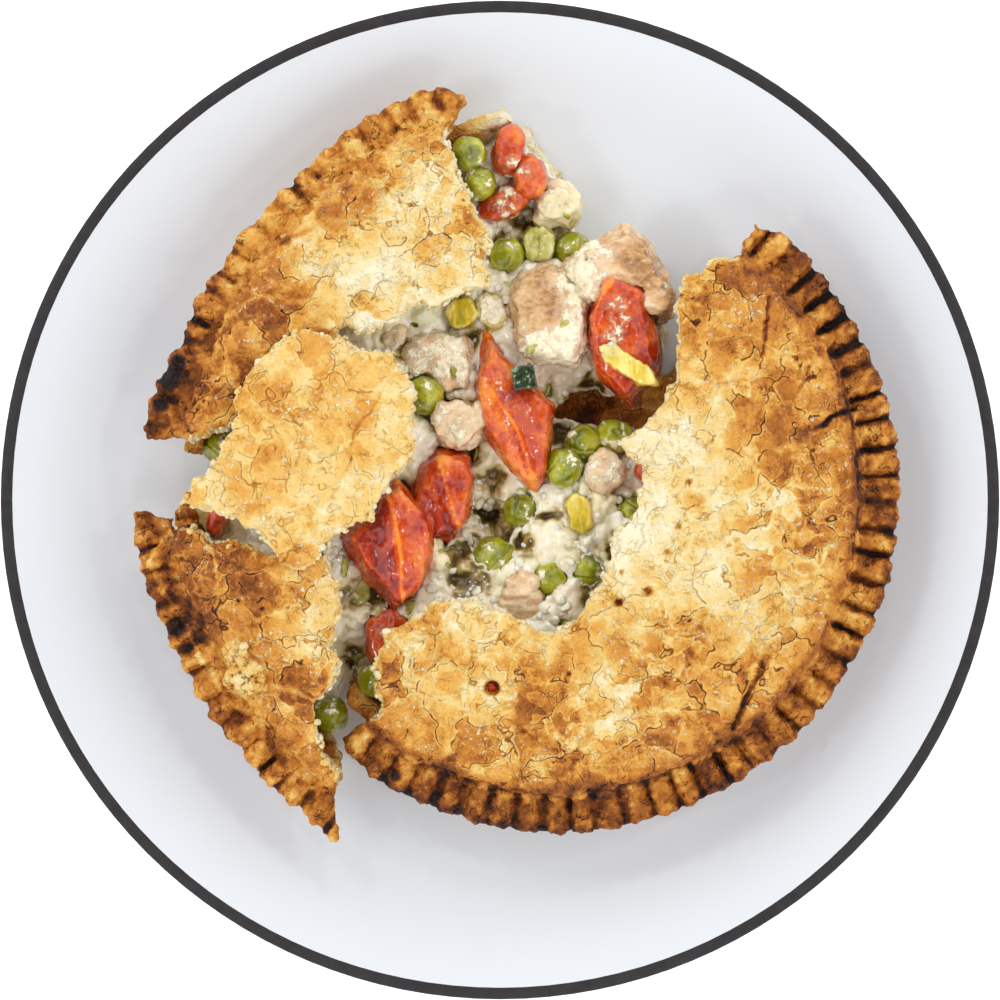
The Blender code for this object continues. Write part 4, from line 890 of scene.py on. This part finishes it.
def makePeaMaterial():
    material, tree, shader = newMaterial("cookedPea", {
        "Roughness": 0.20, "Coat Weight": 0.9, "Coat Roughness": 0.04, "Specular IOR Level": 0.35,
        "Subsurface Weight": 0.12, "Subsurface Scale": 0.002, "Subsurface Radius": (0.8, 1.0, 0.1),
    })
    coordinates = addNode(tree, "ShaderNodeTexCoord")
    place = coordinates.outputs["Object"]
    up = addNode(tree, "ShaderNodeSeparateXYZ", links={0: coordinates.outputs["Normal"]}).outputs["Z"]
    tone = addMath(tree, "MULTIPLY_ADD", addAttribute(tree, "tone"), 0.3, addNoise(tree, place, 190.0, 3.0))
    colour = addRamp(tree, tone, [(0.25, (0.08, 0.085, 0.001)), (0.42, (0.22, 0.235, 0.002)), (0.58, (0.38, 0.375, 0.005)), (0.78, (0.60, 0.56, 0.06))])
    smear = addMath(tree, "MULTIPLY_ADD", up, 0.06, addNoise(tree, place, 280.0, 5.0, 0.6))
    film = addMath(tree, "MULTIPLY", addRange(tree, smear, 0.56, 0.70), 0.5)
    blob = addRange(tree, smear, 0.635, 0.665)
    colour = addMix(tree, film, colour, sauceColours["green"])
    colour = addMix(tree, blob, colour, sauceColours["thick"])
    tree.links.new(colour, shader.inputs["Base Color"])
    height = addMath(tree, "MULTIPLY_ADD", blob, 0.8, addNoise(tree, place, 900.0, 3.0))
    addBump(tree, shader, height, 0.28 * mm, 0.7)
    return material


peas = makePeas(nodesNamed("pea"))
makeActive(peas)
bpy.ops.object.shade_smooth()
wear(peas, makePeaMaterial())
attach(peas, "root")
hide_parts(*nodesNamed("pea"))
print("peas", len(peas.data.polygons), "faces")


# The filling's sauce: thick, full of shreds, with deep gaps between the lumps, finest where no crust lies over it

def makeSauceMaterial():
    # attributes: tone, which carries painted shade in the sauce's gaps, pits and low places, and kind (which sort of
    # shred a lump of it holds)
    material, tree, shader = newMaterial("creamSauce", {
        "Roughness": 0.16, "Coat Weight": 0.9, "Coat Roughness": 0.05, "Specular IOR Level": 0.4,
        "Subsurface Weight": 0.3, "Subsurface Scale": 0.0025, "Subsurface Radius": (1.0, 0.8, 0.5),
    })
    place = addNode(tree, "ShaderNodeTexCoord").outputs["Object"]
    broad = addNoise(tree, place, 130.0, 4.0)
    curd = addNoise(tree, place, 620.0, 3.0, 0.62)
    tone = addSwing(tree, curd, 0.50, addAttribute(tree, "tone"))
    tone = addSwing(tree, broad, 0.30, tone)
    # the darkest stops are painted shade, for the gaps and pits
    colour = addRamp(tree, tone, [(0.0, (0.095, 0.052, 0.009)), (0.14, sauceColours["deep"]), (0.28, (0.37, 0.27, 0.085)), (0.40, (0.64, 0.51, 0.26)), (0.54, (0.87, 0.77, 0.53)), (0.9, (0.94, 0.89, 0.73))])
    kind = addSwing(tree, curd, 0.20, addAttribute(tree, "kind"))
    clear = addRange(tree, tone, 0.22, 0.45)
    meaty = addMath(tree, "MULTIPLY", addMath(tree, "MULTIPLY", addRange(tree, kind, 0.26, 0.16), clear), 0.40)
    leafy = addMath(tree, "MULTIPLY", addMath(tree, "MULTIPLY", addRange(tree, kind, 0.80, 0.90), clear), 0.60)
    colour = addMix(tree, meaty, colour, (0.84, 0.63, 0.42))
    colour = addMix(tree, leafy, colour, sauceColours["green"])
    tree.links.new(colour, shader.inputs["Base Color"])
    height = addMath(tree, "MULTIPLY_ADD", addNoise(tree, place, 1700.0, 2.0), 0.25, curd)
    addBump(tree, shader, height, 0.32 * mm, 0.8)
    return material


sauceShape = {
    "voxel": 1.6 * mm, "lump": 5.0, "medium": 2.6, "small": 1.3,
    "gaps": [
        (-15, -12, 3.0, 3.5), (-1.5, 4.5, 3.0, 3.5), (26.0, 19.5, 4.0, 4.0), (-24.0, 36.0, 4.0, 3.5),
        (-6.9, 36.8, 3.4, 4.0), (-6.4, 12.0, 3.4, 4.0), (-2.5, -3.8, 4.0, 5.0), (-8.7, -12.2, 4.2, 4.5), (-9.7, -20.2, 3.4, 4.0), (4.2, -9.0, 3.6, 4.5),
        (11.5, -4.5, 2.4, 3.5), (-19.8, 30.6, 3.0, 4.0), (-20.0, 2.8, 3.0, 3.5), (26.2, -10.8, 2.4, 4.0), (21.0, 25.0, 3.0, 5.0), (14.5, 14.5, 3.0, 4.5),
        (5.0, 64.0, 4.0, 4.0), (-27.0, -46.0, 5.0, 4.0), (-33.0, -36.0, 4.0, 3.5), (-38.0, -52.0, 4.0, 3.5), (-10.0, 47.0, 3.0, 4.0), (11.0, 25.0, 2.4, 3.0),
        (-29.0, -22.0, 3.5, 3.0), (0.0, 57.0, 3.0, 4.0), (17.3, -8.0, 4.0, 1.6), (13.8, -16.0, 4.0, 1.4), (20.7, -13.8, 4.0, 1.8),
        (-4.6, -20.7, 4.0, 2.4), (-34.5, -23.0, 5.0, 2.4), (21.0, -21.0, 3.0, 3.0), (13.0, 62.0, 3.0, 3.0), (-62.0, 10.0, 6.0, 3.0),
    ],
}
creamSauce = makeSauceMaterial()


def makeSauce():
    piece = copyNodes(["filling"], "sauce")
    voxelRemesh(piece, sauceShape["voxel"])
    lids = [cover(crust) for crust in crusts + [flake]]
    for _ in range(2):
        middles, normals = getFaces(piece)
        outside = [normal[2] > -0.1 and not any(lid.ray_cast(middle, (0, 0, 1))[0] for lid in lids) for middle, normal in zip(middles, normals)]
        refine(piece, outside)
    edges = getEdges(piece)
    points = blur(getPoints(piece), edges, 2)
    setPoints(piece, points)
    normals = getNormals(piece)
    bent = points + mm * np.stack([0.9 * ripple(points, 3 * mm, seed, 2) for seed in (110, 112, 114)], axis=1)
    large, following, kind = lumpCells(bent, sauceShape["lump"] * mm, 111)
    medium = lumpCells(bent, sauceShape["medium"] * mm, 113)[0]
    small = lumpCells(points, sauceShape["small"] * mm, 115)[0]
    strand = 1 - np.abs(ripple(points * (1, 1, 0.6), 4.5 * mm, 117, 2)) * 3
    push = 0.4 + 2.4 * np.maximum(0, 0.62 - large) + 1.2 * (0.5 - medium) + 1.0 * ripple(points, 8 * mm, 116, 3) + 0.4 * np.maximum(strand, 0)
    free = smoothStep(-0.6, 0.1, normals[:, 2])
    swerve = points + mm * np.stack([3.4 * ripple(points, 5 * mm, seed, 3) for seed in (120, 122, 124)], axis=1)
    drop = spotSum(swerve, sauceShape["gaps"]) * smoothStep(0.2, 0.7, normals[:, 2])
    points = points + normals * (push * free * mm)[:, None]
    points[:, 2] -= drop * mm
    points = blur(points, edges, 2) + normals * (0.42 * (0.5 - small) * free * mm)[:, None]
    points[:, 2] = np.maximum(points[:, 2], plateTop + 0.25 * mm)
    setPoints(piece, points)
    normals = getNormals(piece)
    pit = np.sum((blur(points, edges, 5) - points) * normals, axis=1) / mm
    hollow = (blur(points[:, 2], edges, 135) - points[:, 2]) / mm
    # painted shade: the tone darkens in pits, in low places and in the gaps between the lumps
    tone = 0.68 - 0.70 * np.clip(pit, -0.2, 0.6) - 0.12 * np.clip(hollow, -0.5, 3)
    tone -= 0.05 * drop + 0.30 * smoothStep(0.3, 2.7, drop + 1.2 * ripple(points, 2.4 * mm, 141, 3))
    setPaint(piece, "tone", tone)
    setPaint(piece, "kind", kind)
    makeActive(piece)
    bpy.ops.object.shade_smooth()
    return piece


sauce = makeSauce()
wear(sauce, creamSauce)
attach(sauce, "root")
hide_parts("filling")
print("sauce", sum(len(face.vertices) - 2 for face in sauce.data.polygons), "triangles")


# Small things that lie about: curds of sauce, shreds of vegetable and crumbs of crust

def makeLumpShapes(name, level, count, stretch, rough):
    # a few uneven lumps of unit size, to be copied
    shapes = []
    for number in range(count):
        deselectAll()
        bpy.ops.mesh.primitive_ico_sphere_add(subdivisions=level, radius=1.0)
        lump = bpy.context.object
        lump.name = name
        points = getPoints(lump)
        push = rough * ripple(points, 0.9, 400 + number, 3) + 0.4 * rough * ripple(points, 0.35, 420 + number, 2)
        setPoints(lump, points * (1 + push)[:, None] * np.array(stretch))
        shapes.append(lump)
    return shapes


def placeLumps(settings, spots):
    # one uneven lump on each spot of (place, normal), joined into one piece
    chance = random.Random(settings["seed"] + 1)
    shapes = makeLumpShapes(settings["name"], settings["level"], 5, settings["stretch"], settings["rough"])
    low, high = settings["size"]
    copies = []
    for spot, normal in spots:
        size = low * (high / low) ** (chance.random() ** settings["rarity"])
        lean = Euler((chance.uniform(-0.5, 0.5), chance.uniform(-0.3, 0.3), chance.uniform(0, math.tau)))
        copied = bpy.data.objects.new(settings["name"], chance.choice(shapes).data.copy())
        bpy.context.scene.collection.objects.link(copied)
        frameTurn = normal.to_track_quat("Z", "Y").to_matrix() @ lean.to_matrix()
        points = getPoints(copied) * size * mm
        points = points @ np.array(frameTurn).T + np.array(spot) + np.array(normal) * size * settings["lift"] * mm
        setPoints(copied, points)
        copies.append(copied)
    for shape in shapes:
        bpy.data.objects.remove(shape)
    piece = joinPieces(copies, settings["name"])
    for name, value in settings["paint"].items():
        each = np.repeat(np.broadcast_to(value, len(copies)), len(piece.data.vertices) // len(copies))
        setPaint(piece, name, each + settings["paintSwing"] * ripple(getPoints(piece), 2.5 * mm, settings["seed"], 2))
    makeActive(piece)
    bpy.ops.object.shade_smooth()
    wear(piece, settings["material"])
    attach(piece, "root")
    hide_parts(settings["node"])
    print(settings["name"], len(copies), "lumps,", len(piece.data.polygons), "faces")
    return piece


def scatter(settings, floorPieces, blockers):
    # lumps dropped at random into an outline, in clusters, where nothing in the blockers lies above
    chance = random.Random(settings["seed"])
    floors = [(cover(piece), settings["share"].get(piece.name, settings["share"]["other"])) for piece in floorPieces]
    lids = [cover(piece) for piece in blockers]
    xs, ys = [x for x, y in settings["outline"]], [y for x, y in settings["outline"]]
    drops = np.array([(chance.uniform(min(xs), max(xs)), chance.uniform(min(ys), max(ys)), 60.0) for _ in range(14 * settings["count"])]) * mm
    clustered = ripple(drops, settings.get("cluster", 7.0) * mm, settings["seed"], 2) > settings.get("gather", -9.0)
    spots = []
    for drop in drops[clustered & (depthInside(drops, settings["outline"]) > 0)]:
        hits = [(tree.ray_cast(drop, (0, 0, -1)), share) for tree, share in floors]
        hits = [(hit[0], hit[1], share) for hit, share in hits if hit[0]]
        if not hits or len(spots) >= settings["count"]:
            continue
        spot, normal, share = max(hits, key=lambda hit: hit[0].z)
        tops = [tree.ray_cast(drop, (0, 0, -1))[0] for tree in lids]
        if chance.random() < share and not any(top and top.z > spot.z for top in tops):
            spots.append((spot, normal))
    return placeLumps(settings, spots)


openFilling = [
    (-2, 84), (6, 82), (13, 76), (18, 66), (20, 58), (30, 62), (40, 50), (38, 30), (32, 22), (30, 8), (28, -10), (18, -30), (-2, -26),
    (-16, -28), (-26, -34), (-34, -50), (-44, -60), (-38, -44), (-36, -20), (-48, -8), (-74, 0), (-66, 16), (-50, 30), (-30, 36),
    (-12, 44), (-4, 58), (-10, 74),
]
fillingPieces = [sauce, carrots, chicken, celery, leek, potato, courgette, peas]
curds = scatter({
    "name": "curds", "seed": 3, "count": 330, "size": (0.30, 1.5), "rarity": 1.8, "level": 3, "stretch": (1.0, 0.75, 0.45), "rough": 0.5,
    "lift": 0.05, "outline": openFilling, "node": "filling", "paint": {"tone": 0.72, "kind": 0.5}, "paintSwing": 0.14, "cluster": 6.0, "gather": -0.05,
    "share": {"carrots": 0.0, "peas": 0.0, "courgette": 0.0, "celery": 0.0, "leek": 0.0, "chicken": 0.0, "other": 1.0},
    "material": creamSauce, "slot": "sauce",
}, fillingPieces, crusts + [flake])
shreds = scatter({
    "name": "shreds", "seed": 5, "count": 26, "size": (1.0, 2.6), "rarity": 1.2, "level": 3, "stretch": (1.0, 0.42, 0.14), "rough": 0.4,
    "lift": 0.05, "outline": openFilling, "node": "filling", "paint": {"tone": 0.50, "sauce": -0.1}, "paintSwing": 0.25,
    "share": {"carrots": 0.0, "peas": 0.0, "courgette": 0.0, "celery": 0.0, "leek": 0.3, "chicken": 0.3, "other": 1.0},
    "material": leek.data.materials[0], "slot": "leek",
}, fillingPieces, crusts + [flake])
crumbSettings = {
    "name": "clump", "seed": 7, "count": 70, "size": (0.45, 1.7), "rarity": 1.4, "level": 2, "stretch": (1.0, 0.85, 0.7), "rough": 0.6,
    "lift": 0.25, "outline": lowerPatch, "node": "crust_lower_left", "paint": {"bakeAndShade": 0.30, "plates": 0.0},
    "paintSwing": 0.16, "share": {"other": 1.0}, "material": pastry, "slot": "pastry",
}
clump = scatter(crumbSettings, [crusts[2]], [])
ventCarrot = scatter({
    "name": "ventCarrot", "seed": 11, "count": 1, "size": (1.5, 1.5), "rarity": 1.0, "level": 4, "stretch": (1.0, 0.8, 0.7), "rough": 0.3,
    "lift": 0.1, "outline": [(-2.6, -43.2), (-1.4, -43.2), (-1.4, -42.0), (-2.6, -42.0)], "node": "crust_right",
    "paint": {"tone": 0.5, "sauce": 0.0}, "paintSwing": 0.1, "share": {"other": 1.0}, "material": carrots.data.materials[0], "slot": "carrot",
}, [crusts[0]], [])

# Every torn edge is crumbly: little lumps of raw dough sit along it

tearCounts = {"rightCrust": 420, "upperCrust": 420, "lowerCrust": 420, "looseFlake": 200}
for crust in crusts + [flake]:
    points, normals, tearBakeAndShade = tears[crust.name]
    picks = random.Random(21).sample(range(len(points)), min(tearCounts[crust.name], len(points)))
    placeLumps(crumbSettings | {
        "name": crust.name + "Crumbs", "seed": 9, "size": (0.25, 1.1), "rarity": 1.9, "lift": 0.1, "paint": {"bakeAndShade": tearBakeAndShade[picks], "plates": 0.0},
        "node": {"rightCrust": "crust_right", "upperCrust": "crust_upper_left", "looseFlake": "lid_flake"}.get(crust.name, "crust_lower_left"),
    }, [(Vector(points[pick]), Vector(normals[pick])) for pick in picks])


# The plate, drawn up ring by ring from the middle of its floor, over its rim and back under to the foot

plateShape = {
    "around": 128, "lineInner": 111.9 * mm, "lineOuter": 114.7 * mm,
    "rings": [
        (40, 6.5), (70, 6.5), (82, 6.5), (86, 6.55), (91, 7.3), (97, 9.4), (104, 12.7), (109.5, 15.4), (111.9, 16.6),
        (113.2, 17.35), (114.0, 17.45), (114.55, 17.0), (114.5, 16.3), (113.4, 15.1), (107, 11.4), (98, 6.7), (89, 3.4),
        (64, 2.5), (62.8, 0.6), (62.2, 0.1), (61.6, 0.0), (59.4, 0.0), (58.6, 0.1), (58.0, 0.6), (57.0, 2.5), (30, 2.5),
    ],
}


def makePlate():
    rings = plateShape["rings"]
    radius, height = rings[0][0] * mm, rings[0][1] * mm
    deselectAll()
    bpy.ops.mesh.primitive_circle_add(vertices=plateShape["around"], radius=radius, fill_type="TRIFAN", location=(0, 0, height))
    bpy.ops.object.transform_apply(location=True)
    plate = bpy.context.object
    plate.name = "plateDish"
    bpy.ops.object.mode_set(mode="EDIT")
    bpy.ops.mesh.select_all(action="DESELECT")
    bpy.ops.mesh.select_non_manifold()
    for nextRadius, nextHeight in rings[1:]:
        rise = nextHeight * mm - height
        spread = nextRadius * mm / radius
        bpy.ops.mesh.extrude_region_move(TRANSFORM_OT_translate={"value": (0, 0, rise)})
        bpy.ops.transform.resize(value=(spread, spread, 1), center_override=(0, 0, nextHeight * mm))
        radius, height = nextRadius * mm, nextHeight * mm
    bpy.ops.mesh.edge_face_add()
    bpy.ops.mesh.poke()
    bpy.ops.mesh.select_all(action="SELECT")
    bpy.ops.mesh.normals_make_consistent(inside=False)
    bpy.ops.object.mode_set(mode="OBJECT")
    bpy.ops.object.shade_smooth_by_angle(angle=math.radians(50))
    return plate


def makeGlaze():
    material, tree, shader = newMaterial("whiteGlaze", {"Roughness": 0.5, "Specular IOR Level": 0.25})
    place = addNode(tree, "ShaderNodeTexCoord").outputs["Object"]
    tone = addNoise(tree, place, 14.0, 3.0)
    colour = addRamp(tree, tone, [(0.3, (0.715, 0.745, 0.78)), (0.7, (0.735, 0.76, 0.795))])
    tree.links.new(colour, shader.inputs["Base Color"])
    addBump(tree, shader, addNoise(tree, place, 60.0, 2.0), 0.05 * mm, 0.3)
    return material


def makeRimLine():
    material, tree, shader = newMaterial("rimLine", {"Roughness": 0.6, "Specular IOR Level": 0.08})
    place = addNode(tree, "ShaderNodeTexCoord").outputs["Object"]
    colour = addRamp(tree, addNoise(tree, place, 300.0, 3.0), [(0.3, (0.034, 0.030, 0.032)), (0.7, (0.044, 0.040, 0.042))])
    tree.links.new(colour, shader.inputs["Base Color"])
    return material


plate = makePlate()
wear(plate, makeGlaze())
plate.data.materials.append(makeRimLine())
for face in plate.data.polygons:
    reach = math.hypot(face.center.x, face.center.y)
    if plateShape["lineInner"] * 0.9995 < reach < plateShape["lineOuter"] and face.center.z > 16.3 * mm:
        face.material_index = 1
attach(plate, "root")
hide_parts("plate")
print("plate", len(plate.data.polygons), "faces")


# Floor, light and camera

studio = {"floor": 3.0, "camera": 1.6, "view": 0.2294, "key": 0.85, "sparkle": 0.6, "world": 1.42, "overhead": 0.22}

deselectAll()
bpy.ops.mesh.primitive_plane_add(size=studio["floor"], location=(0, 0, cadBounds[0][2] - 0.05 * mm))
floor = bpy.context.object
floor.name = "floor"
floorMaterial, floorTree, floorShader = newMaterial("paleFloor", {"Base Color": (0.95, 0.95, 0.95, 1), "Roughness": 0.9, "Specular IOR Level": 0.0, "Emission Color": (1, 1, 1, 1), "Emission Strength": 0.22})
floor.data.materials.append(floorMaterial)


def addAreaLight(name, place, size, power, colour=(1, 1, 1)):
    deselectAll()
    bpy.ops.object.light_add(type="AREA", location=place)
    light = bpy.context.object
    light.name = name
    light.data.shape = "DISK"
    light.data.size = size
    light.data.energy = power
    light.data.color = colour
    light.rotation_euler = Vector(place).to_track_quat("Z", "Y").to_euler()
    return light


addAreaLight("keyLight", (-0.75, 0.60, 0.80), 1.2, studio["key"], (1.0, 0.99, 0.97))
# small lamps round about give the wet filling its sharp highlights
for number, place in enumerate([(-0.42, 0.50, 0.95), (0.50, 0.25, 0.95), (-0.55, -0.15, 0.90), (0.10, 0.62, 0.90), (0.30, -0.48, 0.95)]):
    addAreaLight("sparkle" + str(number), place, 0.07, studio["sparkle"], (1.0, 0.99, 0.97))

world = bpy.data.worlds.new("studioWorld")
bpy.context.scene.world = world
world.use_nodes = True
background = world.node_tree.nodes["Background"]
background.inputs["Color"].default_value = (0.97, 0.985, 1.0, 1)
# bright all round and dim overhead, as under a studio's soft side lights
height = addNode(world.node_tree, "ShaderNodeTexCoord").outputs["Generated"]
height = addNode(world.node_tree, "ShaderNodeSeparateXYZ", links={0: height}).outputs["Z"]
strength = addRange(world.node_tree, height, math.cos(math.radians(38)), math.cos(math.radians(18)), studio["world"], studio["overhead"])
world.node_tree.links.new(strength, background.inputs["Strength"])

cameraData = bpy.data.cameras.new("camera")
camera = bpy.data.objects.new("camera", cameraData)
bpy.context.scene.collection.objects.link(camera)
camera.location = (0, 0, studio["camera"])
cameraData.angle = 2 * math.atan(studio["view"] / 2 / (studio["camera"] - 17 * mm))
cameraData.clip_start = 0.01
bpy.context.scene.camera = camera
bpy.context.scene.view_settings.view_transform = "Standard"
